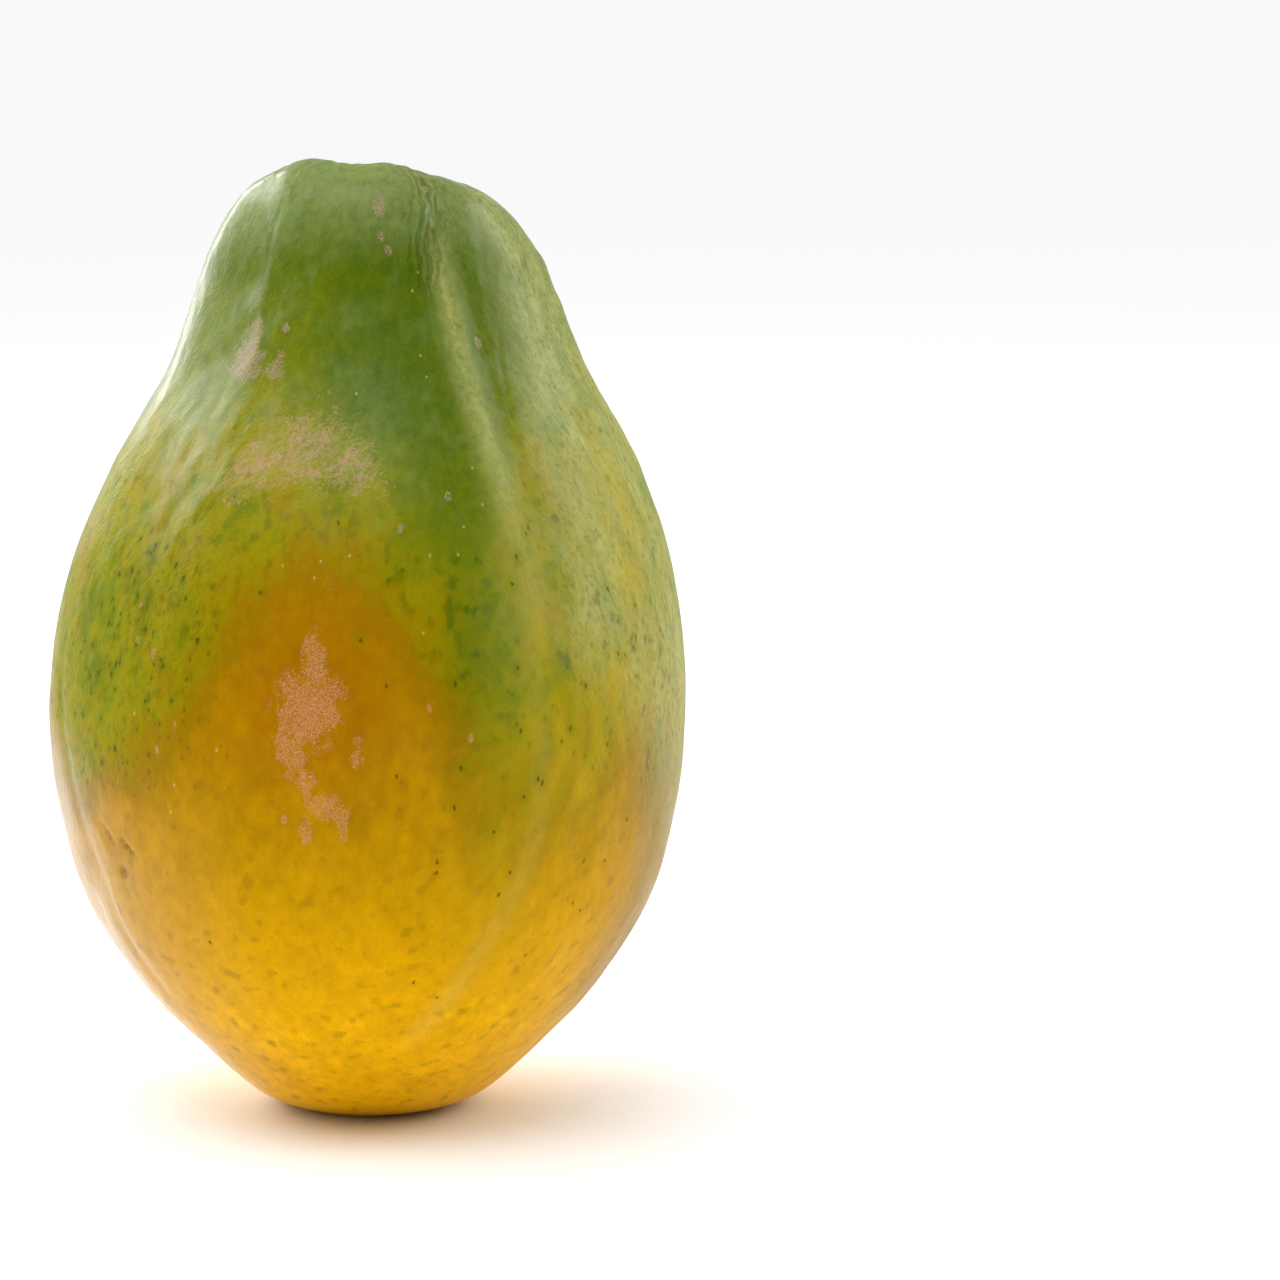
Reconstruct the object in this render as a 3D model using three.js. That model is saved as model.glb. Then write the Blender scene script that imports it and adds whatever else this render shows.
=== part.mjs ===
// A ripe papaya standing on its blossom end.
//
// The fruit is one solid skin surface. A profile runs from the blossom pit over a small flat
// resting spot, up the pear-shaped side, over the shoulders and down into the stem cavity,
// where the dry scar of the stem lies. The profile is swept round the upright axis, and each
// ring of it is pressed towards a rounded pentagon, because a papaya grows from five carpels.
//
// Millimetres, +Z up. The origin is on the surface that the fruit stands on, under its middle.
// Angles are in degrees round the axis: 0 faces -Y (the front) and 90 faces +X.

import * as THREE from "three";

// ---- Driving dimensions ----

const COLUMNS = 90; // points round each ring
const SIDE_STEPS = 3; // rings between two stations of the side
const CAVITY_STEPS = 2;

const BLOSSOM_PIT = { radius: 4.4, depth: 1.6, nub: 1.1 }; // sunken end, with the dry nub in it
const RESTING_SPOT_RADIUS = 13;

// The side, as [radius, height], from the resting spot's edge to the rim of the stem cavity.
const SIDE = [
  [RESTING_SPOT_RADIUS, 0],
  [20.7, 3],
  [30.8, 11.8],
  [41.9, 24.2],
  [51.8, 42.5],
  [56, 69.5], // the belly
  [53, 94.5],
  [45.2, 114.5],
  [35.4, 131.5],
  [30.2, 145], // the neck
  [27.2, 153.6],
  [22.8, 160.6],
  [16.6, 163.6], // the rim
];

// The stem cavity, from inside the rim to the middle of the scar.
const CAVITY = [
  [12.4, 161.4], // wall
  [10.8, 157.4],
  [9.6, 155], // moat round the scar
  [8.3, 155.9], // corky ring
  [6.9, 154.9],
  [4.2, 155.6], // fibrous plate
  [1.5, 154.6],
];

const FACE_ANGLES = [-2.5, 60, 139, 217, 295]; // the middles of the five flattened faces
const CORNER_SHARPNESS = 15; // the power of the norm that rounds the pentagon's corners
const PENTAGON_MEAN = 1.072; // the mean radius of that pentagon, for faces one unit out
// [height, share]: how far the skin is pressed from a circle (0) towards the pentagon (1).
const PENTAGON_SHARE = [
  [0, 0],
  [12, 0.12],
  [45, 0.14],
  [80, 0.12],
  [110, 0.26],
  [133, 0.5],
  [150, 0.56],
  [163, 0.42],
];

// [height, shift in X, shift in Y]: the axis leans and bends a little.
const AXIS_BEND = [
  [0, 0, 0],
  [30, -0.4, -0.2],
  [75, 0.1, -0.7],
  [105, 0.9, 0],
  [128, 1.5, 0.8],
  [148, 0.9, 2.4],
  [164, 0.3, 3.4],
];

// Creases run down the corners from the stem cavity. A negative depth is a rib that stands out.
// width and depth are in millimetres, lean in degrees for each 100 mm below the top end, and
// hook is how many degrees a crease turns by where it runs up over the rim.
const CREASES = [
  { angle: -34, lean: 3, hook: 0, width: 2.4, depth: 0.6, from: 112, to: 167 },
  { angle: 24.5, lean: 0, hook: 10, width: 2.6, depth: 0.9, from: 104, to: 169 },
  { angle: 28.5, lean: 6, hook: 0, width: 2.4, depth: -0.9, from: 70, to: 157 },
  { angle: 36.5, lean: 6, hook: 0, width: 2.4, depth: 0.7, from: 84, to: 152 },
  { angle: 100, lean: -3, hook: -4, width: 2.6, depth: 1.3, from: 102, to: 168 },
  { angle: 178, lean: 2, hook: 3, width: 2.9, depth: 1.6, from: 94, to: 169 },
  { angle: 256, lean: 3, hook: -3, width: 2.5, depth: 1.1, from: 110, to: 168 },
];
const CREASE_RUN_IN = 34; // a crease deepens over this height above its low end
const RIB_RUN_OUT = 16; // a rib dies away over this height below its top end
const HOOK_FROM = 150; // the hooks turn from this height
const HOOK_FULL = 166; // to this one

// The rim isn't level: it stands highest at the front, with a hump or a notch at each angle.
const RIM_TILT = { angle: -9, rise: 4.6 };
const RIM_HUMPS = [
  { angle: -38, width: 20, rise: 1.6 },
  { angle: 14, width: 14, rise: 1 },
  { angle: 36, width: 6, rise: -1.4 },
  { angle: 60, width: 22, rise: 1.4 },
  { angle: 100, width: 9, rise: -2 },
  { angle: 139, width: 24, rise: 2.2 },
  { angle: 178, width: 10, rise: -2.6 },
  { angle: 217, width: 24, rise: 1.8 },
  { angle: 256, width: 9, rise: -1.8 },
  { angle: 290, width: 18, rise: 1.2 },
];
const RIM_FROM = 148; // the humps fade in from this height
const RIM_FULL = 162.5; // to this one

// Slow swells over the whole skin: how many go round, and the height of one wave.
const SWELLS = [
  { around: 1, wave: 220, turn: 40, height: 0.5 },
  { around: 2, wave: 320, turn: 115, height: 0.6 },
  { around: 3, wave: 184, turn: 200, height: 0.35 },
  { around: 5, wave: 256, turn: 290, height: 0.3 },
];
const SWELL_FROM = 3; // the swells grow from here
const SWELL_FULL = 20; // to here, so that the resting spot stays flat

const DENTS = [
  { angle: -60, height: 46, wide: 4.5, tall: 6, depth: 0.9 },
  { angle: -66, height: 39, wide: 4, tall: 5, depth: 0.6 },
  { angle: 28, height: 104, wide: 3, tall: 6, depth: 0.7 },
  { angle: 150, height: 62, wide: 9, tall: 12, depth: 0.9 },
  { angle: 236, height: 88, wide: 8, tall: 10, depth: 0.7 },
];

// ---- Helpers ----

const radians = THREE.MathUtils.degToRad;
const turnBetween = (a, b) => ((((a - b + 180) % 360) + 360) % 360) - 180;
const fade = (x, low, high) => THREE.MathUtils.smoothstep(x, low, high);
const bell = (distance, width) => Math.exp(-((distance / width) ** 2));

/** The value in a column of a [height, ...] table, on a smooth curve through its rows. */
function atHeight(table, z, column = 1) {
  const last = table.length - 1;
  const slopeAt = (row) => {
    if (row === 0 || row === last) return 0;
    const [below, above] = [table[row - 1], table[row + 1]];
    return (above[column] - below[column]) / (above[0] - below[0]);
  };
  const found = table.findIndex((row) => row[0] > z);
  const next = found < 0 ? last : Math.max(1, found);
  const [below, above] = [table[next - 1], table[next]];
  const gap = above[0] - below[0];
  const t = THREE.MathUtils.clamp((z - below[0]) / gap, 0, 1);
  return (
    below[column] * (1 + 2 * t) * (1 - t) ** 2 +
    slopeAt(next - 1) * gap * t * (1 - t) ** 2 +
    above[column] * t * t * (3 - 2 * t) -
    slopeAt(next) * gap * t * t * (1 - t)
  );
}

// ---- The skin ----

/** A rounded pentagon's radius at an angle, about 1 on average. */
function roundedPentagon(angle) {
  const sum = FACE_ANGLES.reduce((total, face) => {
    const towards = Math.max(0, Math.cos(radians(angle - face)));
    return total + towards ** CORNER_SHARPNESS;
  }, 0);
  return sum ** (-1 / CORNER_SHARPNESS) / PENTAGON_MEAN;
}

/** How far the creases push the skin out: less than zero in a crease, more on a rib. */
function creaseRelief(radius, z, angle) {
  return CREASES.reduce((out, crease) => {
    const hooked = crease.hook * fade(z, HOOK_FROM, HOOK_FULL);
    const middle = crease.angle + hooked + (crease.lean * (crease.to - z)) / 100;
    const across = radians(turnBetween(angle, middle)) * radius;
    const runIn = fade(z, crease.from, crease.from + CREASE_RUN_IN);
    const runOut = crease.depth < 0 ? 1 - fade(z, crease.to - RIB_RUN_OUT, crease.to) : 1;
    return out - crease.depth * runIn * runOut * bell(across, crease.width);
  }, 0);
}

/** How far the swells and the dents push the skin out. */
function swellRelief(radius, z, angle) {
  const swelling = SWELLS.reduce((out, swell) => {
    const phase = radians(swell.around * angle + swell.turn) + (2 * Math.PI * z) / swell.wave;
    return out + swell.height * Math.sin(phase);
  }, 0);
  const dented = DENTS.reduce((out, dent) => {
    const across = radians(turnBetween(angle, dent.angle)) * radius;
    return out - dent.depth * bell(across, dent.wide) * bell(z - dent.height, dent.tall);
  }, 0);
  return swelling * fade(z, SWELL_FROM, SWELL_FULL) + dented;
}

/** How far the rim rises above its level at an angle. */
function rimRise(angle) {
  const tilt = RIM_TILT.rise * Math.cos(radians(angle - RIM_TILT.angle));
  return RIM_HUMPS.reduce((rise, hump) => {
    return rise + hump.rise * bell(turnBetween(angle, hump.angle), hump.width);
  }, tilt);
}

/**
 * A point of the skin, where the smooth profile has this radius and height. inCavity runs
 * from 0 on the rim to 1 in the middle of the scar, and stays 0 on the side. Down in the
 * cavity the pentagon and the relief die out, and the humps sink to a slight tilt.
 */
function skinPoint(radius, z, angle, inCavity = 0) {
  const calm = 1 - fade(inCavity, 0.1, 0.75);
  const share = atHeight(PENTAGON_SHARE, z) * calm;
  const pressed = radius * (1 + share * (roundedPentagon(angle) - 1));
  const relief = creaseRelief(radius, z, angle) + swellRelief(radius, z, angle);
  const out = pressed + relief * calm * Math.min(1, radius / 12);
  const humps = rimRise(angle) * fade(z, RIM_FROM, RIM_FULL);
  const settled = THREE.MathUtils.lerp(humps, humps * 0.35, fade(inCavity, 0, 0.6));
  const rise = inCavity > 0 ? settled * Math.min(1, radius / 9) : humps;
  return new THREE.Vector3(
    out * Math.sin(radians(angle)) + atHeight(AXIS_BEND, z, 1),
    -out * Math.cos(radians(angle)) + atHeight(AXIS_BEND, z, 2),
    z + rise,
  );
}

/** One closed ring of points, COLUMNS long. */
function ring(pointAt) {
  return Array.from({ length: COLUMNS }, (_, column) => pointAt((column * 360) / COLUMNS));
}

/** The rings of the blossom end, from the nub out over the pit's rim. */
function blossomRings() {
  const { radius, depth, nub } = BLOSSOM_PIT;
  const profile = [
    [radius * 0.18, nub],
    [radius * 0.4, depth],
    [radius * 0.75, depth * 0.6],
    [radius, 0],
  ];
  return profile.map(([r, z]) => ring((angle) => skinPoint(r, z, angle)));
}

/** The rings of the side and the cavity, along one smooth curve through their stations. */
function sideAndCavityRings() {
  const stations = [...SIDE, ...CAVITY].map(([r, z]) => new THREE.Vector2(r, z));
  const curve = new THREE.SplineCurve(stations);
  const lastStation = stations.length - 1;
  const rimStation = SIDE.length - 1;
  const rings = [];
  for (let station = 0; station < lastStation; station += 1) {
    const steps = station < rimStation ? SIDE_STEPS : CAVITY_STEPS;
    for (let step = 0; step < steps; step += 1) {
      const along = station + step / steps;
      const point = curve.getPoint(along / lastStation);
      const inCavity = Math.max(0, (along - rimStation) / (lastStation - rimStation));
      rings.push(ring((angle) => skinPoint(point.x, Math.max(0, point.y), angle, inCavity)));
    }
  }
  const [lastRadius, lastHeight] = CAVITY.at(-1);
  rings.push(ring((angle) => skinPoint(lastRadius, lastHeight, angle, 1)));
  return rings;
}

/** The closed skin: rings joined by triangles, with a point closing each end. */
function papayaGeometry() {
  const rings = [...blossomRings(), ...sideAndCavityRings()];
  const points = rings.flat();
  const bottom = points.length;
  const top = bottom + 1;
  points.push(new THREE.Vector3(0, 0, BLOSSOM_PIT.nub * 0.9));
  points.push(skinPoint(0, CAVITY.at(-1)[1] - 0.2, 0, 1));

  const faces = [];
  const lastRing = (rings.length - 1) * COLUMNS;
  for (let column = 0; column < COLUMNS; column += 1) {
    const beside = (column + 1) % COLUMNS;
    faces.push(bottom, beside, column);
    faces.push(top, lastRing + column, lastRing + beside);
    for (let start = 0; start < lastRing; start += COLUMNS) {
      const [a, b] = [start + column, start + beside];
      faces.push(a, b, a + COLUMNS);
      faces.push(b, b + COLUMNS, a + COLUMNS);
    }
  }
  const geometry = new THREE.BufferGeometry().setFromPoints(points);
  geometry.setIndex(faces);
  geometry.computeVertexNormals();
  return geometry;
}

// ---- The part ----

const skin = new THREE.MeshStandardMaterial({
  name: "papaya_skin",
  color: 0xb79a2c,
  roughness: 0.38,
  metalness: 0,
});

const fruit = new THREE.Mesh(papayaGeometry(), skin);
fruit.name = "papaya_fruit";

const papaya = new THREE.Group();
papaya.name = "papaya";
papaya.add(fruit);

export default papaya;
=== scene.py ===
# %% [markdown]
# # A ripe papaya
# The packed model holds the fruit's shape as one plain solid. This lesson gives it a skin: the
# same surface worked out finely, with its creases, wrinkles, stem scar and blossom end, and a
# material that ripens from green at the neck to gold below. The first step loads the solid,
# which hides at the end, and notes its box, which the finer skin has to stay in.

# %% Load the solid fruit
from math import pi, radians

import bpy
import numpy as np
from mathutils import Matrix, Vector


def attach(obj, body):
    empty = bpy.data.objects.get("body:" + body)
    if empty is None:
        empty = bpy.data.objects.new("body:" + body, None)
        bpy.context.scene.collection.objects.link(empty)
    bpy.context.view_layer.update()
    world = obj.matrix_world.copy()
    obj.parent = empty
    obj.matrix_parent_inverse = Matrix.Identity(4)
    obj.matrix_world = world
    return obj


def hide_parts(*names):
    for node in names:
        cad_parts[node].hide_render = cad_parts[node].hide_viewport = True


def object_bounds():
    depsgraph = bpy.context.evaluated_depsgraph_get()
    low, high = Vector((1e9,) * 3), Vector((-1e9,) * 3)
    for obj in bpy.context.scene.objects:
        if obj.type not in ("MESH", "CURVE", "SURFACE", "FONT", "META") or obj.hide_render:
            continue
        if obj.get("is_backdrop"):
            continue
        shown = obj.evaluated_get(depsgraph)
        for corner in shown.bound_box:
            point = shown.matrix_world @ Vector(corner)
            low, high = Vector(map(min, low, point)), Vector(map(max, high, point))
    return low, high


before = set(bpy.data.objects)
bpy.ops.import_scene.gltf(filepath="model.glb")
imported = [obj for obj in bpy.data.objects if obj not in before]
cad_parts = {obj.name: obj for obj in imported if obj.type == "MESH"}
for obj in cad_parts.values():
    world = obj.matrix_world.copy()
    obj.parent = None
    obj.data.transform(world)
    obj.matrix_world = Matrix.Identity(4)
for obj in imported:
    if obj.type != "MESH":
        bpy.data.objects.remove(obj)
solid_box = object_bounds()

print("the solid fruit's box, in metres:", [tuple(round(c, 4) for c in corner) for corner in solid_box])

# %% [markdown]
# ## The camera
# A long lens from a little above the table keeps the fruit's outline nearly straight on. The
# aim is right of the fruit and half way up it, so the fruit stands in the left half of the
# frame. The frame's width at the fruit fixes the focal length.

# %% Place the camera
MM = 0.001  # lengths are in millimetres up to the mesh, which is in metres
CAMERA_DISTANCE = 900
CAMERA_ELEVATION = 8  # degrees above the table
AIM = (48, 0, 83.5)
FRAME_WIDTH = 227.5  # what the frame spans at the aim
SENSOR_WIDTH = 36


def place_camera():
    """Puts a camera at the aim plus the distance along the elevation, looking back at the aim."""
    data = bpy.data.cameras.new("camera")
    data.sensor_width = SENSOR_WIDTH
    data.lens = SENSOR_WIDTH * CAMERA_DISTANCE / FRAME_WIDTH
    camera = bpy.data.objects.new("camera", data)
    bpy.context.scene.collection.objects.link(camera)
    aim = Vector(AIM) * MM
    tilt = radians(CAMERA_ELEVATION)
    back = Vector((0, -np.cos(tilt), np.sin(tilt)))
    camera.location = aim + back * CAMERA_DISTANCE * MM
    camera.rotation_euler = back.to_track_quat("Z", "Y").to_euler()
    bpy.context.scene.camera = camera
    return camera


print("the lens is", round(place_camera().data.lens, 1), "mm")

# %% [markdown]
# ## The skin's form
# A papaya is a surface swept round its upright axis: a profile says how far out the skin is at
# each height, and each ring is pressed from a circle towards a rounded pentagon, as the fruit
# grows from five carpels. It could be sculpted, or lathed and pushed about with modifiers. Here
# it is a function of two numbers, the angle round the axis and the way along the profile,
# because every crease and dent then has a plain size and place. Angles are in degrees: 0 is
# the front and 90 is the right.

# %% The profile, the five faces and the bend of the axis
PIT_RADIUS, PIT_DEPTH, NUB_HEIGHT = 4.4, 1.6, 1.1  # the dry blossom end
RESTING_SPOT_RADIUS = 13
SIDE = [  # radius and height, from the resting spot's edge to the rim of the stem cavity
    (RESTING_SPOT_RADIUS, 0), (20.7, 3), (30.8, 11.8), (41.9, 24.2), (51.8, 42.5), (56, 69.5),
    (53, 94.5), (45.2, 114.5), (35.4, 131.5), (30.2, 145), (27.2, 153.6), (22.8, 160.6), (16.6, 163.6),
]
CAVITY = [  # from inside the rim to the middle of the scar
    (12.4, 161.4), (10.8, 157.4), (9.6, 155), (8.3, 155.9), (6.9, 154.9), (4.2, 155.6), (1.5, 154.6),
]
BLOSSOM = [  # from the nub's middle to the pit's edge
    (0, NUB_HEIGHT * 0.9), (PIT_RADIUS * 0.18, NUB_HEIGHT), (PIT_RADIUS * 0.4, PIT_DEPTH),
    (PIT_RADIUS * 0.75, PIT_DEPTH * 0.6), (PIT_RADIUS, 0),
]
FACE_ANGLES = (-2.5, 60, 139, 217, 295)
CORNER_SHARPNESS = 15
PENTAGON_MEAN = 1.072
PENTAGON_SHARE = [  # height, and how far a ring is pressed from a circle to the pentagon
    (0, 0), (12, 0.12), (45, 0.14), (80, 0.12), (110, 0.26), (133, 0.5), (150, 0.56), (163, 0.42),
]
AXIS_X = [(0, 0), (30, -0.4), (75, 0.1), (105, 0.9), (128, 1.5), (148, 0.9), (164, 0.3)]  # height, shift
AXIS_Y = [(0, 0), (30, -0.2), (75, -0.7), (105, 0), (128, 0.8), (148, 2.4), (164, 3.4)]


def fade(x, low, high):
    """Rises from 0 at low to 1 at high as 3t squared minus 2t cubed."""
    t = np.clip((x - low) / (high - low), 0, 1)
    return t * t * (3 - 2 * t)


def band(x, rise, fall):
    """Rises over the first pair of places and falls over the second: one fade times what
    another leaves."""
    return fade(x, *rise) * (1 - fade(x, *fall))


def bell(distance, width):
    """1 in the middle, falling as the exponential of minus distance over width, squared."""
    return np.exp(-((distance / width) ** 2))


def turn(a, b):
    """The turn from b to a, from -180 to 180 degrees."""
    return (a - b + 180) % 360 - 180


def on_curve(table, x):
    """The second column of a table at x of the first: a cubic between rows, whose slope at a
    row is that of the line through the rows beside it, and 0 at both ends."""
    places, values = np.array(table, float).T
    slopes = np.zeros(len(places))
    slopes[1:-1] = (values[2:] - values[:-2]) / (places[2:] - places[:-2])
    after = np.clip(np.searchsorted(places, x, side="right"), 1, len(places) - 1)
    before = after - 1
    gap = places[after] - places[before]
    t = np.clip((x - places[before]) / gap, 0, 1)
    low = values[before] * (1 + 2 * t) * (1 - t) ** 2 + slopes[before] * gap * t * (1 - t) ** 2
    high = values[after] * t * t * (3 - 2 * t) - slopes[after] * gap * t * t * (1 - t)
    return low + high


def through(stations, along):
    """Points of the Catmull-Rom curve through stations, at whole and part stations: each
    stretch is a cubic that leaves a station along the line between its neighbours."""
    p = np.array(stations, float)
    start = np.clip(along.astype(int), 0, len(p) - 2)
    t = (along - start)[:, None]
    a, b, c, d = (p[np.clip(start + k, 0, len(p) - 1)] for k in (-1, 0, 1, 2))
    leave, arrive = (c - a) / 2, (d - b) / 2
    cubed = 2 * b - 2 * c + leave + arrive
    squared = 3 * c - 3 * b - 2 * leave - arrive
    return cubed * t**3 + squared * t**2 + leave * t + b


def pentagon(angle):
    """A pentagon's radius with rounded corners: the power norm of how far a direction points
    towards each face."""
    towards = [np.maximum(0, np.cos(np.radians(angle - face))) for face in FACE_ANGLES]
    return sum(t**CORNER_SHARPNESS for t in towards) ** (-1 / CORNER_SHARPNESS) / PENTAGON_MEAN


# %% [markdown]
# ## Creases, swells and the rim
# Creases run down the corners from the stem cavity, and the one at the front right has a low
# rib beside it. Each is a bell across the skin that fades in along its length. The rim has
# humps over the faces, and notches at the creases of the sides and the back.

# %% Large relief
CREASES = [  # angle, lean, hook over the rim, width, depth, low end, top end; a rib's depth is below 0
    (-34, 3, 0, 3, 0.35, 112, 167),
    (24.5, 0, 10, 2.6, 0.4, 112, 169),
    (28.5, 6, 0, 3.2, -0.8, 70, 152),
    (36.5, 6, 0, 3, 0.4, 84, 150),
    (100, -3, -4, 2.6, 1.3, 102, 168),
    (178, 2, 3, 2.9, 1.6, 94, 169),
    (256, 3, -3, 2.5, 1.1, 110, 168),
]
CREASE_RUN_IN, RIB_RUN_OUT = 34, 34
HOOK_HEIGHTS = (150, 166)
RIM_TILT_ANGLE, RIM_TILT = -9, 4.6
RIM_HUMPS = [  # angle, width, rise
    (-38, 20, 1.6), (14, 14, 0.9), (58, 22, 0.2), (100, 9, -2),
    (139, 24, 2.2), (178, 10, -2.6), (217, 24, 1.8), (256, 9, -1.8), (290, 18, 1.2),
]
RIM_HEIGHTS = (148, 162.5)
SWELLS = [  # how many go round, the height of one wave, its phase in degrees, and its rise
    (1, 220, 40, 0.5), (2, 320, 115, 0.6), (3, 184, 200, 0.35), (5, 256, 290, 0.3),
]
SWELL_HEIGHTS = (3, 20)
DENTS = [  # angle, height, width, tallness, depth
    (-60, 46, 4.5, 6, 0.9), (-66, 39, 4, 5, 0.6), (28, 104, 3, 6, 0.7),
    (150, 62, 9, 12, 0.9), (236, 88, 8, 10, 0.7),
]
RELIEF_RADIUS, RIM_RADIUS = 12, 9  # inside these the relief and the rim's humps shrink to nothing
CALM_REACH = (0.1, 0.75)  # how far into the cavity, from 0 at the rim to 1 in the scar's middle
SETTLING, SETTLING_REACH = 0.65, (0, 0.6)  # how much of the rim's rise the cavity loses


def crease_middle(crease, z):
    """The angle of a crease's middle: its own, plus its lean for each 100 mm below the top, plus
    its hook over the rim."""
    angle, lean, hook, _, _, _, top = crease
    return angle + lean * (top - z) / 100 + hook * fade(z, *HOOK_HEIGHTS)


def large_relief(radius, z, angle):
    """How far out the skin stands: the sum of crease bells, slow waves and dents."""
    out = np.zeros(np.broadcast(radius, z, angle).shape)
    for crease in CREASES:
        _, _, _, width, depth, low, top = crease
        across = np.radians(turn(angle, crease_middle(crease, z))) * radius
        run_out = 1 - fade(z, top - RIB_RUN_OUT, top) if depth < 0 else 1
        out = out - depth * fade(z, low, low + CREASE_RUN_IN) * run_out * bell(across, width)
    for around, wave, phase, height in SWELLS:
        ripple = np.sin(np.radians(around * angle + phase) + 2 * pi * z / wave)
        out = out + height * fade(z, *SWELL_HEIGHTS) * ripple
    for dent_angle, height, wide, tall, depth in DENTS:
        across = np.radians(turn(angle, dent_angle)) * radius
        out = out - depth * bell(across, wide) * bell(z - height, tall)
    return out


def rim_rise(angle):
    """How far the rim stands above its level: a tilt as a cosine, plus the humps' bells."""
    tilt = RIM_TILT * np.cos(np.radians(angle - RIM_TILT_ANGLE))
    return tilt + sum(rise * bell(turn(angle, at), width) for at, width, rise in RIM_HUMPS)


def skin_points(radius, z, angle, in_cavity):
    """The skin at an angle, where the profile has this radius and height: out from the bent
    axis by the pressed radius plus the relief, and up by the rim's rise. in_cavity goes from 0
    at the rim to 1 in the scar's middle, where pentagon, relief and rise calm down."""
    calm = 1 - fade(in_cavity, *CALM_REACH)
    share = on_curve(PENTAGON_SHARE, z) * calm
    pressed = radius * (1 + share * (pentagon(angle) - 1))
    out = pressed + large_relief(radius, z, angle) * calm * np.minimum(1, radius / RELIEF_RADIUS)
    humps = rim_rise(angle) * fade(z, *RIM_HEIGHTS)
    settled = humps * (1 - SETTLING * fade(in_cavity, *SETTLING_REACH)) * np.minimum(1, radius / RIM_RADIUS)
    x = out * np.sin(np.radians(angle)) + on_curve(AXIS_X, z)
    y = -out * np.cos(np.radians(angle)) + on_curve(AXIS_Y, z)
    return np.stack([x, y, z + np.where(in_cavity > 0, settled, humps)], axis=-1)


# %% [markdown]
# ## A grid over the skin
# The mesh is a grid: columns go round the axis and rows go along the profile, from the nub of
# the blossom end to the middle of the stem scar. Rows are spaced evenly along the curve, wider
# over the flat spot and closer in the cavity, where the detail is finer.

# %% Rows and columns
COLUMNS = 384
ROW_GAP = 0.95
CAVITY_ROW_GAP = 0.62
RESTING_ROW_GAP = 2
FINE_GAP = 0.05  # the rows are picked from ones this close
FINE_STEPS = 4000  # how many places along a curve its length is summed up at
CLOSING_ROWS = [(1.1, 0.05), (0.55, 0.15)]  # the scar's last rows: radius, depth under the curve's end


def evenly(stations, gap):
    """Radius, height and place along a curve through stations, in steps of about one gap: the
    curve is walked finely, its length is summed up, and rows are read off at equal lengths."""
    fine = np.linspace(0, len(stations) - 1, FINE_STEPS)
    walked = through(stations, fine)
    length = np.concatenate([[0], np.cumsum(np.hypot(*np.diff(walked, axis=0).T))])
    rows = np.interp(np.linspace(0, length[-1], int(length[-1] / gap) + 1), length, fine)
    return np.column_stack([through(stations, rows), rows])


def profile_rows():
    """Every row's radius, height and place in the cavity (0 outside it), from nub to scar."""
    blossom = evenly(BLOSSOM, ROW_GAP)[1:]
    spot = evenly([(PIT_RADIUS, 0), (RESTING_SPOT_RADIUS, 0)], RESTING_ROW_GAP)[1:-1]
    whole = evenly(SIDE + CAVITY, FINE_GAP)
    rim, last = len(SIDE) - 1, len(SIDE) + len(CAVITY) - 1
    side_rows = whole[whole[:, 2] <= rim][:: round(ROW_GAP / FINE_GAP)]
    cavity_rows = whole[whole[:, 2] > rim][:: round(CAVITY_ROW_GAP / FINE_GAP)]
    closing = np.array([(radius, CAVITY[-1][1] - below, last) for radius, below in CLOSING_ROWS])
    rows = np.vstack([blossom * (1, 1, 0), spot * (1, 1, 0), side_rows, cavity_rows, closing])
    in_cavity = np.clip((rows[:, 2] - rim) / (last - rim), 0, 1)
    return rows[:, 0], np.maximum(0, rows[:, 1]), in_cavity


row_radius, row_height, row_in_cavity = (column[:, None] for column in profile_rows())
angles = turn(180 + np.arange(COLUMNS) * 360 / COLUMNS, 0)[None, :]
base = skin_points(row_radius, row_height, angles, row_in_cavity)
shape = base.shape[:2]
radius_mm = np.broadcast_to(row_radius, shape)
height_mm = np.broadcast_to(row_height, shape)
angle_deg = np.broadcast_to(angles, shape)
in_cavity = np.broadcast_to(row_in_cavity, shape)
print("the skin's grid:", shape[0], "rows of", shape[1])

# %% Patches and regions of the skin
def across_from(angle, radius=radius_mm):
    """Millimetres along the skin from an angle to each point of the grid."""
    return np.radians(turn(angle_deg, angle)) * radius


def spot(angle, height, wide, tall):
    """A soft round patch on the grid: one bell across times one bell up."""
    return bell(across_from(angle), wide) * bell(height_mm - height, tall)


def patches(table):
    """The sum of soft patches, from rows of angle, height, width, tallness and amount."""
    return sum(amount * spot(*place) for *place, amount in table)


FROM_BELOW, TO_THE_TOP = (-2, -1), (399, 400)  # fades that lie off the fruit
REGIONS = {  # where it fades in and out going right, then where it does going up
    "smooth left": (-125, -100, -68, -56, *FROM_BELOW, *TO_THE_TOP),
    "left of the neck": (-72, -54, -40, -26, 70, 104, *TO_THE_TOP),
    "low right flank": (46, 80, 92, 150, 4, 26, 44, 104),
    "low left flank": (-130, -76, -72, -16, 2, 14, 36, 74),
    "left facet": (-150, -110, -31, -19, *FROM_BELOW, *TO_THE_TOP),
    "low left": (-150, -110, -66, -40, *FROM_BELOW, 52, 78),
    "left cheek's edge": (-130, -100, -68, -54, 62, 80, 116, 130),
    "low front": (-66, -40, 40, 66, 2, 12, 60, 96),
    "neck": (-130, -90, 90, 130, 104, 120, *TO_THE_TOP),
    "upper right": (20, 40, 110, 150, 108, 132, *TO_THE_TOP),
    "right flank": (40, 64, 150, 175, *FROM_BELOW, 112, 136),
}


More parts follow.
